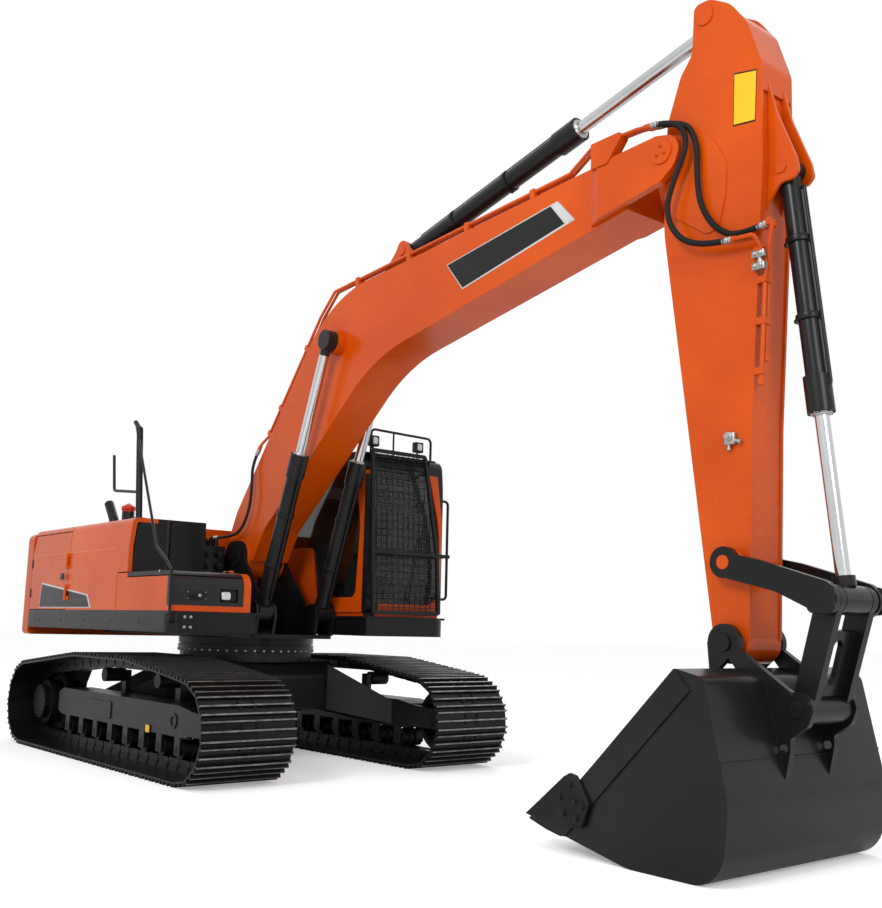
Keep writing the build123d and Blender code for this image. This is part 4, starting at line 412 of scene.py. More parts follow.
rows_of_slats = nodes_result("door_louvres", blade, slats, {"Rows": 10, "Rise": 0.0275})
add_piece("door_louvres", rows_of_slats, "left_door")
bpy.data.objects.remove(blade)

# ---- Flank and name plates -----------------------------------------------------------
# Cut vinyl film, put on after painting: a black wedge low on the right flank with a silver edge, a black plate
# with a silver end on the boom, and a yellow label on the arm. All are bare.
RIGHTWARD = (0, -1, 0)
FILM_THICK, FILM_STEP = 0.0010, 0.0006
film_black = coated_metal("black_film", (0.008, 0.008, 0.009), (0.006, 0.006, 0.007), 0.28, coat=0.05,
                          grain=0.0)
film_silver = coated_metal("silver_film", (0.55, 0.55, 0.55), (0.48, 0.48, 0.48), 0.35, coat=0.2, grain=0.0)
film_yellow = coated_metal("yellow_film", (0.85, 0.47, 0.012), (0.80, 0.43, 0.010), 0.40, coat=0.2, grain=0.0)


def film(name, body, layers, facing=RIGHTWARD):
    """Vinyl film from (outline, material) layers, each a hair above the last."""
    bm = bmesh.new()
    for level, (rows, material) in enumerate(layers):
        lift = Vector(facing) * (FILM_STEP * level)
        plate_form(bm, [Vector(row) + lift for row in rows], facing, FILM_THICK, material_index=level)
    return formed_piece(name, bm, body, *[material for rows, material in layers], smooth=0)


FLANK = [(-1.879, 1.331), (-1.844, 1.584), (-0.619, 1.455), (-0.523, 1.331)]
FLANK_INNER = [(-1.868, 1.338), (-1.836, 1.566), (-0.640, 1.443), (-0.560, 1.338)]
FLANK_Y, DOOR_SPLIT = -1.3551, -1.1545
for part, body in (("rear", "right_door"), ("front", "upper")):
    layers = []
    for outline, material in ((FLANK, film_silver), (FLANK_INNER, film_black)):
        (x0, z0), (x1, z1), (x2, z2), (x3, z3) = outline
        cut = z1 + (z2 - z1) * (DOOR_SPLIT - x1) / (x2 - x1)
        if part == "rear":
            edge = DOOR_SPLIT - 0.004
            rows = [(x0, z0), (x1, z1), (edge, cut), (edge, z0)]
        else:
            edge = DOOR_SPLIT + 0.012
            rows = [(edge, z0), (edge, cut), (x2, z2), (x3, z3)]
        layers.append(([(x, FLANK_Y, z) for x, z in rows], material))
    film(part + "_flank_film", body, layers)

BOOM_FILM_Y, ARM_FILM_Y, LABEL_FIELD = -0.1902, -0.1552, 0.94
BOOM_PLATE = ((film_silver, ((3.135, 3.996), (4.330, 4.160), (4.497, 3.979), (3.328, 3.757))),
              (film_black, ((3.147, 3.991), (4.262, 4.142), (4.398, 3.977), (3.331, 3.769))),
              (film_silver, ((4.278, 4.144), (4.332, 4.152), (4.485, 3.985), (4.414, 3.979))))
layers = [([(x, BOOM_FILM_Y, z) for x, z in rows], material) for material, rows in BOOM_PLATE]
film("boom_plate", "boom", layers)
edge = [(x, ARM_FILM_Y, z) for x, z in ((5.763, 4.545), (5.924, 4.511), (5.905, 4.191), (5.750, 4.211))]
middle = Vector([sum(c) / 4 for c in zip(*edge)])
inner = [middle + (Vector(row) - middle) * LABEL_FIELD for row in edge]
film("arm_label", "arm", [(edge, film_black), (inner, film_yellow)])

# ---- Counterweight -------------------------------------------------------------------
# A steel-shelled weight filled with concrete and ore, its tail round, painted as one with the flanks. It
# hangs on studs from the frame and has two lifting eyes on its top.
weight_paint = coated_metal("weight_paint", (0.59, 0.076, 0.001), (0.48, 0.056, 0.001), 0.32, coat=0.08,
                            grain=0.10, grain_scale=45.0)
finish(weight_paint, "counterweight")
EYE_X, EYE_Y, EYE_Z = -2.46, 0.62, 2.088
bm = bmesh.new()
for side in (-1, 1):
    tube_form(bm, [(EYE_X + 0.055 * math.cos(a), side * EYE_Y, EYE_Z + 0.070 * math.sin(a))
                   for a in (math.pi * k / 10 for k in range(11))], 0.013)
formed_piece("lifting_eyes", bm, "upper", satin_black)

# ---- Revolving frame -----------------------------------------------------------------
# Welded black frame with a folded skirt all round. The skirt's right side is covered by a lighter grey strip,
# and zinc-plated bolts hold the skirt at its front corner.
frame_black = coated_metal("frame_black", (0.008, 0.008, 0.009), (0.005, 0.005, 0.006), 0.32, coat=0.08,
                           grain=0.08)
finish(frame_black, "revolving_frame", "engine_block", "control_valve")
strip_grey = coated_metal("strip_grey", (0.030, 0.030, 0.031), (0.024, 0.024, 0.025), 0.40, grain=0.06)
rows = [(x, FLANK_Y, z) for x, z in ((-2.007, 1.147), (1.012, 1.147), (1.045, 1.283), (-2.007, 1.283))]
film("skirt_strip", "upper", [(rows, strip_grey)])
SKIRT_FRONT_X, SKIRT_SIDE_Y = 1.1315, 1.3562
corner = [((SKIRT_FRONT_X, y, z), (1, 0, 0)) for y in (-1.222, -1.167) for z in (1.180, 1.263)]
bolt_set("skirt_bolts", "upper", plated, corner, 0.010, 0.008)
seam = [((x, side * SKIRT_SIDE_Y, 1.215), (0, side, 0))
        for side in (-1, 1) for x in (-1.85, -1.25, -0.65, -0.05, 0.55)]
bolt_set("skirt_seam_bolts", "upper", satin_black, seam, 0.008, 0.005)

# ---- Tracks --------------------------------------------------------------------------
# Rolled steel shoes with three grousers each, four bolts to a shoe, on forged link pairs with hardened pins.
# They are painted black; the grousers' tops are bare steel from wear, coloured light grey as a painted
# highlight.
track_steel = coated_metal("track_steel", (0.010, 0.0098, 0.0096), (0.006, 0.006, 0.0058), 0.36, metallic=0.25,
                           coat=0.1, grain=0.22, grain_scale=70.0)
# Light grey bare steel for the grousers' tops: wear, and a painted highlight where they catch the light.
worn_highlight_steel = coated_metal("worn_highlight_edge", (0.30, 0.295, 0.29), (0.13, 0.128, 0.125), 0.36, metallic=0.85,
                          grain=0.2, grain_scale=60.0, drift_scale=14.0)
TRACK_Y, SPROCKET_X, WHEEL_Z = 1.100, -1.770, 0.404
BELT = [(SPROCKET_X, WHEEL_Z, 0.378), (1.690, WHEEL_Z, 0.378), (0.640, 0.484, 0.420), (-0.480, 0.484, 0.420)]
SHOE = {"pitch": 0.190, "width": 0.800, "plate": 0.014, "grouser": 0.026, "link": 0.092}


def belt_points(bends, pitch):
    """Joints between shoes, evenly spaced round the loop, as (x, z)."""
    outs = []
    for (x0, z0, r0), (x1, z1, r1) in zip(bends, bends[1:] + bends[:1]):
        gap = math.hypot(x1 - x0, z1 - z0)
        outs.append((math.atan2(z1 - z0, x1 - x0) - math.pi / 2 + math.asin((r0 - r1) / gap)) % (2 * math.pi))
    spans = []
    for i, (x0, z0, r0) in enumerate(bends):
        x1, z1, r1 = bends[(i + 1) % len(bends)]
        out = outs[i]
        start = (x0 + r0 * math.cos(out), z0 + r0 * math.sin(out))
        end = (x1 + r1 * math.cos(out), z1 + r1 * math.sin(out))
        spans.append((math.dist(start, end), lambda s, a=start, b=end: [p + (q - p) * s for p, q in zip(a, b)]))
        turn = (outs[(i + 1) % len(bends)] - out) % (2 * math.pi)
        spans.append((turn * r1, lambda s, c=(x1, z1, r1), o=out, t=turn:
                      [c[0] + c[2] * math.cos(o + t * s), c[1] + c[2] * math.sin(o + t * s)]))
    total = sum(length for length, place in spans)
    count = round(total / pitch)
    points = []
    for k in range(count):
        left = total * k / count
        for length, place in spans:
            if left <= length:
                points.append(place(left / length))
                break
            left -= length
    return points


# Top of a shoe from edge to edge: share of the pitch, height (-1 half the plate down, 0 its top, 1 a grouser's
# edge), and 1 where the stretch up to that point is bare steel from wear, light grey also as a painted
# highlight.
SHOE_TOP = ((-0.5, -1, 0), (-0.44, 0, 0), (-0.41, 1, 0), (-0.35, 1, 1), (-0.31, 0, 0), (-0.08, 0, 0),
            (-0.04, 1, 0), (0.03, 1, 1), (0.07, 0, 0), (0.30, 0, 0), (0.34, 1, 0), (0.41, 1, 1), (0.44, 0, 0),
            (0.49, -1, 0))
PIN_BOSS = ((0, 0.034), (0.006, 0.034), (0.007, 0.022), (0.011, 0.020))
SHOE_BOLT = ((0, 0.016), (0.003, 0.016), (0.0031, 0.0135), (0.013, 0.0125))


def shoe_mesh(pitch, width, plate, grouser, link):
    """One shoe on its two links, lying outwards up, its joint line along Y."""
    bm = bmesh.new()
    worn = bm.faces.layers.bool.new("worn")
    half = pitch / 2
    heights = {-1: -0.5 * plate, 0: 0.0, 1: grouser}
    top = [(share * pitch, heights[step], edge) for share, step, edge in SHOE_TOP]
    under = [(0.49 * pitch, -plate, 0), (-0.5 * pitch, -plate, 0)]
    rows = top + under
    left = [bm.verts.new((x, -width / 2, z)) for x, z, edge in rows]
    right = [bm.verts.new((x, width / 2, z)) for x, z, edge in rows]
    for face, (x, z, edge) in zip(span_rings(bm, [left, right]), rows[1:] + rows[:1]):
        face[worn] = bool(edge)
    for side in (-1, 1):
        low, high = sorted((side * 0.045, side * 0.084))
        rail = [(-half - 0.030, -plate - 0.030), (-half - 0.030, -plate - link * 0.75), (-half, -plate - link),
                (half - 0.035, -plate - link), (half - 0.008, -plate - link * 0.6),
                (half - 0.012, -plate + 0.001), (-half + 0.022, -plate + 0.001)]
        span_rings(bm, [[bm.verts.new((x, y, z)) for x, z in rail] for y in (low, high)])
        turned(bm, PIN_BOSS, (-half, side * 0.082, -plate - link * 0.5), (0, side, 0), 12)
        for x in (-0.036, 0.018):
            turned(bm, SHOE_BOLT, (x, side * 0.064, 0), (0, 0, 1), 6)
    turned(bm, [(0, 0.027), (0.09, 0.027)], (-half, -0.045, -plate - link * 0.5), (0, 1, 0), 12)
    return mesh_from(bm, "shoe", 30)


shoe = new_object("shoe", shoe_mesh(**SHOE))
belt_tree, enter, leave = new_tree("track_belt", Shoe="Object")
source = new_node(belt_tree, "GeometryNodeObjectInfo", {"Object": enter.outputs["Shoe"]})
spin = new_node(belt_tree, "GeometryNodeInputNamedAttribute", {"Name": "spin"}, data_type="FLOAT_VECTOR")
chosen = new_node(belt_tree, "GeometryNodeInputNamedAttribute", {"Name": "worn"}, data_type="BOOLEAN")
loop = new_node(belt_tree, "GeometryNodeInstanceOnPoints", {
    "Points": enter.outputs["Geometry"], "Instance": source.outputs["Geometry"], "Rotation": spin})
real = new_node(belt_tree, "GeometryNodeRealizeInstances", {"Geometry": loop})
paint_all = new_node(belt_tree, "GeometryNodeSetMaterial", {"Geometry": real, "Material": track_steel})
paint_worn = new_node(belt_tree, "GeometryNodeSetMaterial", {
    "Geometry": paint_all, "Selection": chosen, "Material": worn_highlight_steel})
feed(belt_tree, leave, {"Geometry": paint_worn})
joints = belt_points(BELT, SHOE["pitch"])
for label, side in (("left", 1), ("right", -1)):
    rows = [(((x0 + x1) / 2, side * TRACK_Y, (z0 + z1) / 2), (0, math.pi + math.atan2(-(z1 - z0), x1 - x0), 0))
            for (x0, z0), (x1, z1) in zip(joints, joints[1:] + joints[:1])]
    seed = marked_points("belt", "spin", rows)
    belt = nodes_result("track_shoes_" + label, seed, belt_tree, {"Shoe": shoe})
    bpy.data.objects.remove(seed)
    piece = add_piece("track_shoes_" + label, belt, "undercarriage")
    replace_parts(piece, "track_" + label)
bpy.data.objects.remove(shoe)

# ---- Track frames, wheels and slew ring ----------------------------------------------
# Box girders carry a sprung idler in front and a bolted final drive behind, with sealed rollers between.
# A row of ring bolts shows below the slewing bearing's joint.
frame_dark = coated_metal("frame_dark", (0.016, 0.016, 0.0165), (0.008, 0.008, 0.0085), 0.38, coat=0.1,
                          grain=0.14)
deep_black = coated_metal("casting_black", (0.007, 0.007, 0.0072), (0.004, 0.004, 0.0042), 0.45, grain=0.25,
                          grain_scale=55.0)
finish(frame_dark, "track_frame_left", "track_frame_right", "car_body")
finish(deep_black, "idler_left", "idler_right", "sprocket_left", "sprocket_right", "track_rollers_left",
       "track_rollers_right", "carrier_rollers")
finish(frame_black, "slew_ring")
RING_RADIUS, RING_BOLT_Z, RING_BOLTS = 0.6405, 0.975, 48
outs = [(math.cos(a), math.sin(a)) for a in (2 * math.pi * k / RING_BOLTS for k in range(RING_BOLTS))]
rows = [((RING_RADIUS * x, RING_RADIUS * y, RING_BOLT_Z), (x, y, 0)) for x, y in outs]
bolt_set("slew_ring_bolts", "undercarriage", plated, rows, 0.009, 0.006)
FRAME_SIDE_Y = -1.2502
rows = [(x, FRAME_SIDE_Y, z) for x, z in ((0.585, 0.305), (0.660, 0.305), (0.660, 0.365), (0.585, 0.365))]
film("frame_label", "undercarriage", [(rows, film_yellow)])
DRIVE_RING, DRIVE_FACE_Y = 0.135, 1.315
for side, label in SIDES:
    drive = [((SPROCKET_X + DRIVE_RING * math.cos(a), side * DRIVE_FACE_Y, WHEEL_Z + DRIVE_RING * math.sin(a)),
              (0, side, 0)) for a in (math.pi * k / 8 for k in range(16))]
    bolt_set(label + "_drive_bolts", "undercarriage", frame_dark, drive, 0.011, 0.010)

# ---- Cab -----------------------------------------------------------------------------
# A pressed steel cab, orange to the roof line and black above and round the windscreen's near edge, with dark
# tinted glass bonded in black rubber. A mesh of welded wire fills the bolted front guard.


def in_box(tree, low, high):
    """1 inside a box in Object coordinates, None where an axis has no limit."""
    apart = new_node(tree, "ShaderNodeSeparateXYZ", {"Vector": object_place(tree)})
    product = None
    for axis, lowest, highest in zip("XYZ", low, high):
        for limit, way in ((lowest, "GREATER_THAN"), (highest, "LESS_THAN")):
            if limit is None:
                continue
            test = math_node(tree, way, apart.outputs[axis], limit)
            product = test if product is None else math_node(tree, "MULTIPLY", product, test)
    return product


def recolour(tree, share, colour):
    """Change the skin's colour where share is 1."""
    skin = tree.nodes["Principled BSDF"]
    old = skin.inputs["Base Color"].links[0].from_socket
    mix = new_node(tree, "ShaderNodeMix", {"Factor": share, 6: old, 7: (*colour, 1)}, data_type="RGBA")
    feed(tree, skin, {"Base Color": mix.outputs[2]})


def masked_paint(name, colour, shade, other, boxes):
    """Topcoat that changes to another colour inside boxes, as masked off in the paint shop."""
    material = coated_metal(name, colour, shade, 0.30, coat=0.08)
    for low, high in boxes:
        recolour(material.node_tree, in_box(material.node_tree, low, high), other)
    return material


PAINT, PAINT_SHADE = (0.59, 0.076, 0.001), (0.49, 0.056, 0.001)
cab_paint = masked_paint("cab_paint", PAINT, PAINT_SHADE, (0.008, 0.008, 0.009),
                         [((None, None, 2.665), (None, None, None)), ((1.285, None, None), (None, 0.560, None)),
                          ((1.04, 1.30, None), (1.20, None, None)), ((1.17, 1.285, 1.46), (None, 1.342, None))])
finish(cab_paint, "cab_shell", "cab_door")
finish(satin_black, "front_guard", "light_rail", "handrails", "cab_grab_rail")
glass, tree, skin = new_material("tinted_glass")
tint = blend_ramp(tree, object_noise(tree, 0.8), 0.3, 0.7, (0.010, 0.012, 0.012), (0.018, 0.021, 0.021))
feed(tree, skin, {"Base Color": tint, "Alpha": 0.72, "Roughness": 0.06, "Coat Weight": 0.4})
finish(glass, "cab_glass", "door_glass")

GUARD_FOOT, GUARD_HEAD = (1.425, 1.345), (1.342, 2.825)
GUARD_Y, GUARD_TOP_Y, GUARD_BEND = (0.449, 1.203), 1.063, 0.550
wires, enter, leave = new_tree("guard_mesh", Pitch="Float", Wide="Float", High="Float")
wide, high, pitch = (enter.outputs[label] for label in ("Wide", "High", "Pitch"))
lattice = new_node(wires, "GeometryNodeMeshGrid", {
    "Size X": wide, "Size Y": high, "Vertices X": math_node(wires, "DIVIDE", wide, pitch),
    "Vertices Y": math_node(wires, "DIVIDE", high, pitch)})
lines = new_node(wires, "GeometryNodeMeshToCurve", {"Mesh": lattice})
wire = new_node(wires, "GeometryNodeCurvePrimitiveCircle", {"Resolution": 4, "Radius": 0.0017})
drawn = new_node(wires, "GeometryNodeCurveToMesh", {"Curve": lines, "Profile Curve": wire})
mesh_grey = coated_metal("guard_wire", (0.045, 0.045, 0.046), (0.030, 0.030, 0.031), 0.42, coat=0.1)
finish_tree(wires, drawn, mesh_grey, leave)
seed = new_object("seed", bpy.data.meshes.new("seed"))
guard_wide, guard_high = GUARD_Y[1] - GUARD_Y[0], math.dist(GUARD_FOOT, GUARD_HEAD)
lean = math.atan2(GUARD_FOOT[0] - GUARD_HEAD[0], GUARD_HEAD[1] - GUARD_FOOT[1])
net = nodes_result("guard_mesh", seed, wires, {"Pitch": 0.0265, "Wide": guard_wide, "High": guard_high})
bpy.data.objects.remove(seed)
trimmed = bmesh.new()
trimmed.from_mesh(net)
bmesh.ops.bisect_plane(trimmed, geom=trimmed.verts[:] + trimmed.edges[:] + trimmed.faces[:], clear_outer=True,
                       plane_co=(guard_wide / 2, GUARD_BEND - guard_high / 2, 0),
                       plane_no=(guard_high - GUARD_BEND, GUARD_Y[1] - GUARD_TOP_Y, 0))
trimmed.to_mesh(net)
trimmed.free()
stand_up = Matrix(((0, 0, 1, 0), (1, 0, 0, 0), (0, 1, 0, 0), (0, 0, 0, 1)))
guard_middle = ((GUARD_FOOT[0] + GUARD_HEAD[0]) / 2, sum(GUARD_Y) / 2, (GUARD_FOOT[1] + GUARD_HEAD[1]) / 2)
net.transform(Matrix.Translation(guard_middle) @ Matrix.Rotation(-lean, 4, "Y") @ stand_up)
add_piece("guard_mesh", net, "upper")

bm = bmesh.new()
tube_form(bm, [(1.372, 0.90, 1.47), (1.372, 0.90, 1.53), (1.366, 1.02, 2.02), (1.362, 1.05, 2.10)], 0.007)
tube_form(bm, [(1.362, 1.035, 1.86), (1.356, 1.060, 2.42)], 0.006)
turned(bm, [(-0.02, 0.020), (0.0, 0.020), (0.012, 0.014)], (1.355, 0.90, 1.47), (1, 0, 0), 16)
formed_piece("wiper", bm, "upper", satin_black)

# ---- Operator's place ----------------------------------------------------------------
# A sprung seat in dark woven cloth over moulded foam, with raised side bolsters and sewn seams, armrest
# consoles with joysticks beside it, and travel levers in front. All of it shows only through the glass.
cloth, tree, skin = new_material("seat_cloth")
weave = new_node(tree, "ShaderNodeTexWave", {
    "Scale": 160, "Distortion": 2.0, "Vector": object_place(tree)}).outputs["Fac"]
nap = new_node(tree, "ShaderNodeBump", {"Strength": 0.3, "Distance": GRAIN_DEPTH, "Height": weave})
feed(tree, skin, {
    "Base Color": blend_ramp(tree, weave, 0.3, 0.8, (0.016, 0.017, 0.018), (0.034, 0.035, 0.037)),
    "Roughness": 0.9, "Normal": nap})


def cushion(name, middle, size, lean, bolster=0.35):
    """Foam pad: crowned, its sides drawn in between the corners, bolsters raised and a seam inside them."""
    bm = bmesh.new()
    bmesh.ops.create_cube(bm, size=1.0)
    bmesh.ops.subdivide_edges(bm, edges=bm.edges[:], cuts=15, use_grid_fill=True)
    for vert in bm.verts:
        u, v, w = (2 * c for c in vert.co)
        puff = (1 - u ** 4) * (1 - v ** 4)
        side = max(0.0, abs(v) - 0.62) / 0.38
        seam = math.exp(-((abs(v) - 0.62) / 0.035) ** 2) + math.exp(-(u / 0.03) ** 2) * (abs(v) < 0.62)
        rise = bolster * math.sin(math.pi * min(1, side)) - 0.10 * seam
        w = w * (0.72 + 0.28 * puff) + rise * (w > 0) * puff
        u *= 1 - 0.05 * (1 - v * v) * (1 - w * w) - 0.10 * w * w * (abs(u) > 0.85)
        v *= 1 - 0.04 * (1 - u * u) * (1 - w * w) - 0.10 * w * w * (abs(v) > 0.85)
        vert.co = (u * size[0] / 2, v * size[1] / 2, w * size[2] / 2)
    bm.transform(Matrix.Translation(middle) @ Matrix.Rotation(lean, 4, "Y"))
    pad = formed_piece(name, bm, "upper", cloth, smooth=60)
    smooth = pad.modifiers.new("smooth", "SUBSURF")
    smooth.levels = smooth.render_levels = 1
    return pad


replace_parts(cushion("seat_cushion", (0.40, 0.89, 1.86), (0.52, 0.52, 0.15), 0.0), "seat")
cushion("seat_back", (0.115, 0.89, 2.18), (0.66, 0.50, 0.14), math.radians(-80))
bm = bmesh.new()
box_form(bm, (0.16, 0.70, 1.395), (0.60, 1.08, 1.47), 0.012)
for k in range(5):
    fold = 0.008 * (k % 2)
    box_form(bm, (0.19 - fold, 0.72 - fold, 1.47 + 0.06 * k), (0.57 + fold, 1.06 + fold, 1.53 + 0.06 * k),
             0.012)
JOYSTICK = ((0, 0.035), (0.03, 0.030), (0.05, 0.014), (0.13, 0.011), (0.15, 0.022), (0.22, 0.026),
            (0.26, 0.015))
for y in (0.57, 1.21):
    box_form(bm, (0.20, y - 0.05, 1.70), (0.68, y + 0.05, 1.98), 0.02)
    turned(bm, JOYSTICK, (0.60, y, 1.975), (0.10, 0, 1), 16)
for y in (0.83, 0.95):
    tube_form(bm, [(0.98, y, 1.40), (0.96, y, 1.62), (0.90, y, 1.95), (0.90, y, 2.02)], 0.010)
    box_form(bm, (0.93, y - 0.045, 1.40), (1.13, y + 0.045, 1.425), 0.006)
formed_piece("seat_base_and_levers", bm, "upper", satin_black)

# ---- Lamps ---------------------------------------------------------------------------
# Round-cornered work lamps with fluted clear lenses in black housings: two on the cab's roof rail, one in the
# tool box's front.
lens_glass, tree, skin = new_material("lamp_lens")
flutes = new_node(tree, "ShaderNodeTexWave", {"Scale": 30, "Vector": object_place(tree)}, bands_direction="Y")
feed(tree, skin, {
    "Base Color": blend_ramp(tree, flutes.outputs["Fac"], 0.2, 0.8, (0.42, 0.42, 0.41), (0.72, 0.72, 0.70)),
    "Roughness": 0.12, "Metallic": 0.35})
finish(satin_black, "work_lamp")
for name, x, y, z, half_y, half_z in (("roof_lamp_lens_right", 1.219, 0.570, 2.940, 0.030, 0.034),
                                      ("roof_lamp_lens_left", 1.219, 1.098, 2.940, 0.030, 0.034),
                                      ("front_lamp_lens", 1.119, -0.850, 1.445, 0.044, 0.034)):
    bm = bmesh.new()
    corners = [(x, y + half_y * math.copysign(abs(math.cos(a)) ** 0.5, math.cos(a)),
                z + half_z * math.copysign(abs(math.sin(a)) ** 0.5, math.sin(a)))
               for a in (2 * math.pi * k / 28 for k in range(28))]
    plate_form(bm, corners, (1, 0, 0), 0.006, 0.005)
    formed_piece(name, bm, "upper", lens_glass)

# ---- Deck, exhaust and filler --------------------------------------------------------
# The hood and decks are held by plated bolts with washers. The exhaust is a black steel stack on a clamp,
# and the filler has a red cap on its black neck.
finish(satin_black, "exhaust_stack")
cap_red = masked_paint("cap_red", (0.55, 0.030, 0.008), (0.45, 0.024, 0.007), (0.014, 0.014, 0.015),
                       [((None, None, None), (None, None, 2.285))])
finish(cap_red, "filler_cap")
DECK_TOP_Z = 2.1285
deck = [((x, side * y, DECK_TOP_Z), (0, 0, 1)) for side in (-1, 1) for y in (0.78, 1.24)
        for x in (-2.05, -1.60, -1.10, -0.55) if (x, y, side) not in ((-1.10, 0.78, -1), (-0.55, 0.78, -1))]
bolt_set("deck_bolts", "upper", plated, deck, 0.009, 0.008)
bm = bmesh.new()
HANDLE = ((-0.06, 2.19), (-0.06, 2.235), (0.06, 2.235), (0.06, 2.19))
for y in (-0.30, 0.30):
    tube_form(bm, [(-2.04, y + out, z) for out, z in HANDLE], 0.008)
formed_piece("hood_handles", bm, "engine_lid", satin_black)

# ---- Fuel tank and tool box ----------------------------------------------------------
# The tank and the box lid are dark grey steel. The box is orange with a dark moulded front that wraps its
# corner: a bolted black plate with a lock on one side and the lamp's pocket on the other.
tank_black = coated_metal("tank_black", (0.007, 0.007, 0.0075), (0.005, 0.005, 0.0055), 0.30, coat=0.08)
lid_grey = coated_metal("lid_grey", (0.016, 0.016, 0.017), (0.010, 0.010, 0.011), 0.36, coat=0.08)
finish(tank_black, "fuel_tank")
finish(lid_grey, "tool_box_lid")
box_paint = masked_paint("tool_box_paint", PAINT, PAINT_SHADE, (0.016, 0.016, 0.017),
                         [((1.055, None, 1.357), (None, -0.688, None))])
finish(box_paint, "tool_box")
BOX_FRONT_X, FRONT_PLATE = 1.1295, 0.004
PLATE_FACE_X = BOX_FRONT_X + FRONT_PLATE
bm = bmesh.new()
box_form(bm, (BOX_FRONT_X, -1.216, 1.406), (PLATE_FACE_X, -1.037, 1.477), 0.0015)
formed_piece("front_plate", bm, "upper", satin_black)
rows = [((PLATE_FACE_X + 0.0005, y, z), (1, 0, 0)) for y in (-1.207, -1.046) for z in (1.415, 1.468)]
bolt_set("front_plate_bolts", "upper", plated, rows, 0.004, 0.003)
bm = bmesh.new()
turned(bm, [(0, 0.014), (0.004, 0.014), (0.005, 0.009), (0.007, 0.009)], (PLATE_FACE_X, -1.10, 1.441),
       (1, 0, 0), 20)
turned(bm, [(0, 0.012), (0.005, 0.012), (0.007, 0.008)], (0.90, -1.3565, 1.635), (0, -1, 0), 16)
formed_piece("box_locks", bm, "upper", plated)

# ---- Boom fittings -------------------------------------------------------------------
# Steel fittings on the welded boom, painted over with it in orange. A keeper plate on three bolts holds the
# tip pin on each side, and the clamps of the oil pipes are bolted through to the boom's side.
TIP_PIN, KEEPER_RING, KEEPER_Y = (5.285, 4.180), 0.034, 0.2705
rows = [((TIP_PIN[0] + KEEPER_RING * math.cos(a), side * KEEPER_Y, TIP_PIN[1] + KEEPER_RING * math.sin(a)),
         (0, side, 0)) for side in (-1, 1) for a in (math.pi / 2, math.pi * 7 / 6, math.pi * 11 / 6)]
for (x0, z0), (x1, z1), shares in (((0.530, 2.965), (1.345, 3.955), (0.03, 0.25, 0.75)),
                                   ((1.560, 4.146), (4.430, 4.330), (0.125, 0.375, 0.625, 0.875))):
    along = Vector((x1 - x0, 0, z1 - z0))
    out = Vector((-along.z, 0, along.x)).normalized()
    rows += [(Vector((x0, -0.1535, z0)) + along * share + out * 0.0195, out) for share in shares]
bolt_set("boom_bolts", "boom", orange, rows, 0.008, 0.007)

# ---- Arm fittings --------------------------------------------------------------------
# A small zinc-plated valve block sits low on the arm's side, with a turned cap and two turned pipe ends. The
# coupling above it is two plated blocks, each held by two hexagon screws, with a short pipe between them.
bm = bmesh.new()
box_form(bm, (5.665, -0.185, 2.295), (5.735, -0.156, 2.365), 0.006)
turned(bm, [(0, 0.026), (0.020, 0.026), (0.022, 0.018), (0.034, 0.018)], (5.700, -0.178, 2.340), (0, -1, 0), 20)
turned(bm, [(0, 0.011), (0.03, 0.011), (0.031, 0.015), (0.044, 0.015)], (5.730, -0.172, 2.318),
       (1, 0, -0.3), 12)
turned(bm, [(0, 0.009), (0.024, 0.009), (0.025, 0.012), (0.036, 0.012)], (5.690, -0.172, 2.300), (0, 0, -1), 12)
formed_piece("arm_valve", bm, "arm", plated)
bm = bmesh.new()
for z in (3.372, 3.300):
    box_form(bm, (5.880, -0.192, z - 0.022), (5.962, -0.156, z + 0.022), 0.005)
    for x in (5.900, 5.940):
        turned(bm, [(0, 0.013), (0.010, 0.013), (0.012, 0.009)], (x, -0.191, z), (0, -1, 0), 6)
turned(bm, [(0, 0.016), (0.014, 0.016), (0.016, 0.013), (0.028, 0.013)], (5.925, -0.174, 3.322), (0, 0, 1), 12)
formed_piece("pipe_coupling", bm, "arm", plated)

# ---- Cylinders -----------------------------------------------------------------------
# Four hydraulic cylinders of drawn steel tube, painted black, each with a bolted head and two clamped bands.
# Their hard-chromed, ground rods run in a bright wiper ring and end in a welded eye.
barrel_black = coated_metal("barrel_black", (0.009, 0.009, 0.0095), (0.006, 0.006, 0.0065), 0.30, coat=0.1)
finish(barrel_black, "boom_cylinder_barrels", "arm_cylinder_barrel", "bucket_cylinder_barrel")


def rod_chrome(name, base, top, eye_reach):
    """Chrome along the rod, black at the eye's last stretch before its pin."""
    material = coated_metal(name, (0.62, 0.63, 0.64), (0.52, 0.53, 0.54), 0.17, metallic=1.0, grain=0.0)
    tree = material.node_tree
    way = (Vector(top) - Vector(base)).normalized()
    along = new_node(tree, "ShaderNodeVectorMath", {0: object_place(tree), 1: way}, operation="DOT_PRODUCT")
    eye = math_node(tree, "GREATER_THAN", along.outputs["Value"], Vector(top).dot(way) - eye_reach)
    recolour(tree, eye, (0.015, 0.015, 0.016))
    bare = new_node(tree, "ShaderNodeMapRange", {"To Min": 1.0, "To Max": 0.0, "Value": eye})
    feed(tree, tree.nodes["Principled BSDF"], {"Metallic": bare})
    return material


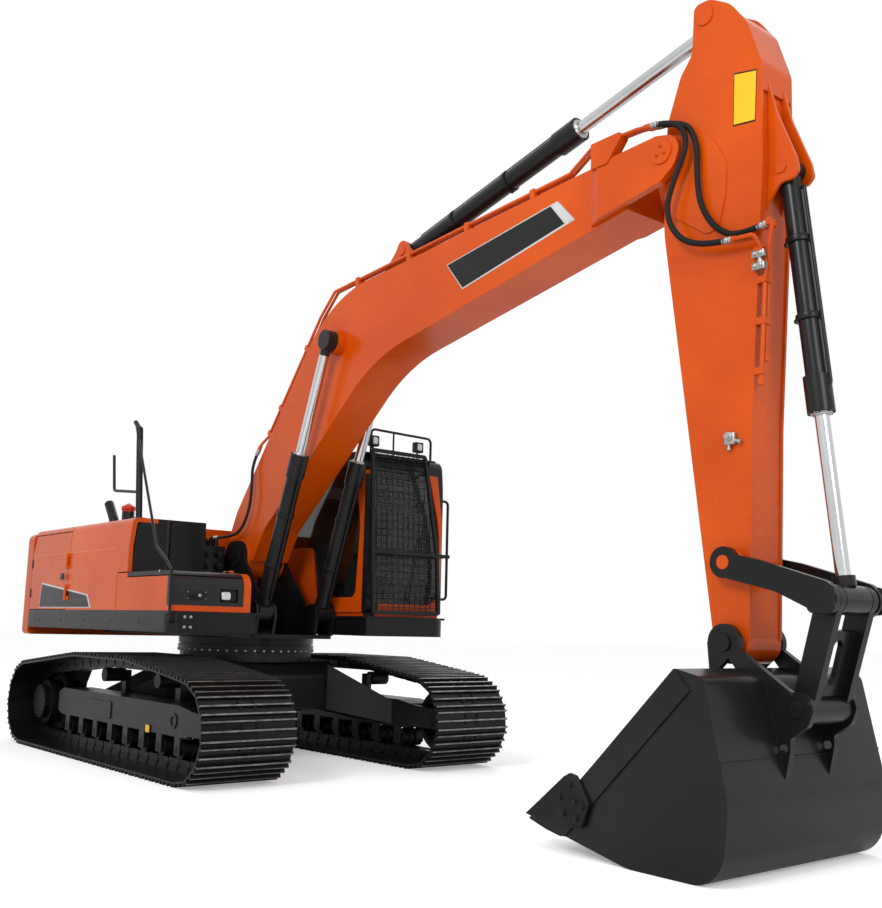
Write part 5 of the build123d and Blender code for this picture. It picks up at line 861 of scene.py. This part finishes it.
# Label, barrel's foot pin, rod's eye pin, places across, barrel's length, gland and rod radius, eye's reach.
RODS = (
    ("boom", (0.795, 0, 1.330), (1.690, 0, 3.650), (-0.311, 0.311), 1.460, 0.082, 0.043, 0.133),
    ("arm", (2.450, 0, 4.310), (5.560, 0, 5.010), (0.0,), 1.960, 0.090, 0.047, 0.130),
    ("bucket", (6.020, 0, 3.890), (6.285, 0, 1.421), (0.0,), 1.460, 0.076, 0.040, 0.125),
)
for label, base, top, sides, length, gland, rod, eye in RODS:
    node = "boom_cylinder_rods" if label == "boom" else label + "_cylinder_rod"
    finish(rod_chrome(label + "_rod_chrome", base, top, eye), node)
    way = (Vector(top) - Vector(base)).normalized()
    body = "boom_barrels" if label == "boom" else label + "_barrel"
    across = Vector((0, 1, 0)).cross(way)
    wipers, bands, rows = bmesh.new(), bmesh.new(), []
    for y in sides:
        foot = Vector((base[0], y, base[2]))
        mouth = foot + way * length
        turned(wipers, [(-0.004, rod * 1.02), (-0.004, gland * 0.80), (0.004, gland * 0.80),
                        (0.008, rod * 1.32), (0.016, rod * 1.22), (0.016, rod * 1.02)],
               mouth, way, 32, closed=True)
        for share in (0.30, 0.62):
            middle = foot + way * (length * share)
            turned(bands, [(-0.018, gland * 0.78), (-0.018, gland * 0.945), (-0.016, gland * 0.955),
                           (0.016, gland * 0.955), (0.018, gland * 0.945), (0.018, gland * 0.78)],
                   middle, way, 32, closed=True)
            turned(bands, [(-0.014, 0.016), (0.014, 0.016)], middle + across * (gland * 0.97), (0, 1, 0), 6)
        for turn in (2 * math.pi * (k + 0.5) / 8 for k in range(8)):
            out = across * math.cos(turn) + Vector((0, 1, 0)) * math.sin(turn)
            rows.append((mouth + out * gland * 0.86, way))
    formed_piece(label + "_rod_wipers", wipers, body, plated)
    formed_piece(label + "_barrel_bands", bands, body, satin_black)
    bolt_set(label + "_gland_bolts", body, satin_black, rows, 0.007, 0.007)

# ---- Bucket and its links ------------------------------------------------------------
# Cast links and a welded bucket of wear steel, painted black. Cast teeth are held to their adapters by driven
# pins, and the tips, the lip and the side cutters are scuffed to dull steel.
cast_black = coated_metal("cast_black", (0.007, 0.007, 0.0075), (0.0045, 0.0045, 0.005), 0.32, coat=0.1,
                          grain=0.2, grain_scale=60.0)
bucket_paint = coated_metal("bucket_paint", (0.009, 0.009, 0.0095), (0.0055, 0.0055, 0.006), 0.34, coat=0.1,
                            grain=0.12, grain_scale=30.0)
tooth_steel = coated_metal("tooth_steel", (0.016, 0.016, 0.017), (0.007, 0.007, 0.0075), 0.42, metallic=0.3,
                           grain=0.3, grain_scale=80.0, drift_scale=9.0)
finish(cast_black, "rocker_links", "bucket_link")
finish(bucket_paint, "bucket")
finish(tooth_steel, "bucket_teeth")
CUTTER = [(4.680, 0.183), (4.985, 0.425), (5.030, 0.447), (5.075, 0.438), (5.105, 0.405), (5.175, 0.300),
          (5.120, 0.165), (4.860, 0.150)]
CUTTER_BOLTS = [(5.035, 0.385), (4.960, 0.310), (5.070, 0.300), (5.125, 0.275), (4.985, 0.225), (5.080, 0.212)]
CUTTER_Y, CUTTER_THICK, CUTTER_FACE_Y = 0.7572, 0.020, 0.7775
rows = []
bm = bmesh.new()
for side in (-1, 1):
    plate_form(bm, [(x, side * CUTTER_Y, z) for x, z in CUTTER], (0, side, 0), CUTTER_THICK, 0.004)
    rows += [((x, side * CUTTER_FACE_Y, z), (0, side, 0)) for x, z in CUTTER_BOLTS]
formed_piece("side_cutters", bm, "bucket", tooth_steel)
bolt_set("side_cutter_bolts", "bucket", cast_black, rows, 0.017, 0.014)
bm = bmesh.new()
tube_form(bm, [(6.016, y, 0.600) for y in (-0.744, 0.744)], 0.006, 8)
formed_piece("bucket_weld", bm, "bucket", bucket_paint)
BUCKET_PINS, PIN_BOLTS = ((5.668, 1.181), (6.116, 0.850)), ((0.075, 0.035), (-0.030, 0.078))
PIN_FACE_Y = 0.2275
rows = [((x + on, side * PIN_FACE_Y, z + up), (0, side, 0))
        for side in (-1, 1) for x, z in BUCKET_PINS for on, up in PIN_BOLTS]
bolt_set("bucket_pin_bolts", "bucket", frame_dark, rows, 0.010, 0.009)

# ---- Floor, light and backdrop -------------------------------------------------------
# A plain pale studio floor that runs out into a white surround, under even light from all sides. Three soft
# lamps, to the right, in front and behind, draw the edges.
bpy.ops.mesh.primitive_circle_add(vertices=96, radius=90, fill_type="NGON")
floor = bpy.context.object
floor.name = "studio_floor"
pale, tree, skin = new_material("pale_floor")
sight = new_node(tree, "ShaderNodeLightPath")
feed(tree, skin, {
    "Base Color": (0.9, 0.9, 0.9, 1), "Roughness": 0.9, "Specular IOR Level": 0.0,
    "Emission Color": (1, 1, 1, 1),
    "Emission Strength": math_node(tree, "MULTIPLY", sight.outputs["Is Camera Ray"], 0.30)})
floor.data.materials.append(pale)

world = bpy.data.worlds.new("studio")
bpy.context.scene.world = world
world.use_nodes = True
tree = world.node_tree
path = new_node(tree, "ShaderNodeLightPath")
plain = path.outputs["Is Camera Ray"]
for ray in ("Is Glossy Ray", "Is Transmission Ray"):
    plain = math_node(tree, "MAXIMUM", plain, path.outputs[ray])
glow = new_node(tree, "ShaderNodeMapRange", {"To Min": 0.75, "To Max": 1.0, "Value": plain})
feed(tree, tree.nodes["Background"], {"Color": (1, 1, 1, 1), "Strength": glow})


def soft_light(name, place, target, size, power):
    data = bpy.data.lights.new(name, "AREA")
    data.shape = "DISK"
    data.size = size
    data.energy = power
    lamp = new_object(name, data)
    lamp.location = place
    lamp.rotation_euler = (Vector(target) - Vector(place)).to_track_quat("-Z", "Y").to_euler()


soft_light("key", (7, -12, 10), (2, 0, 2), 5, 900)
soft_light("front", (14, -3, 6), (3, 0, 2), 4, 300)
soft_light("rim", (-6, 9, 10), (1, 0, 2), 6, 250)
bpy.context.scene.view_settings.view_transform = "Standard"
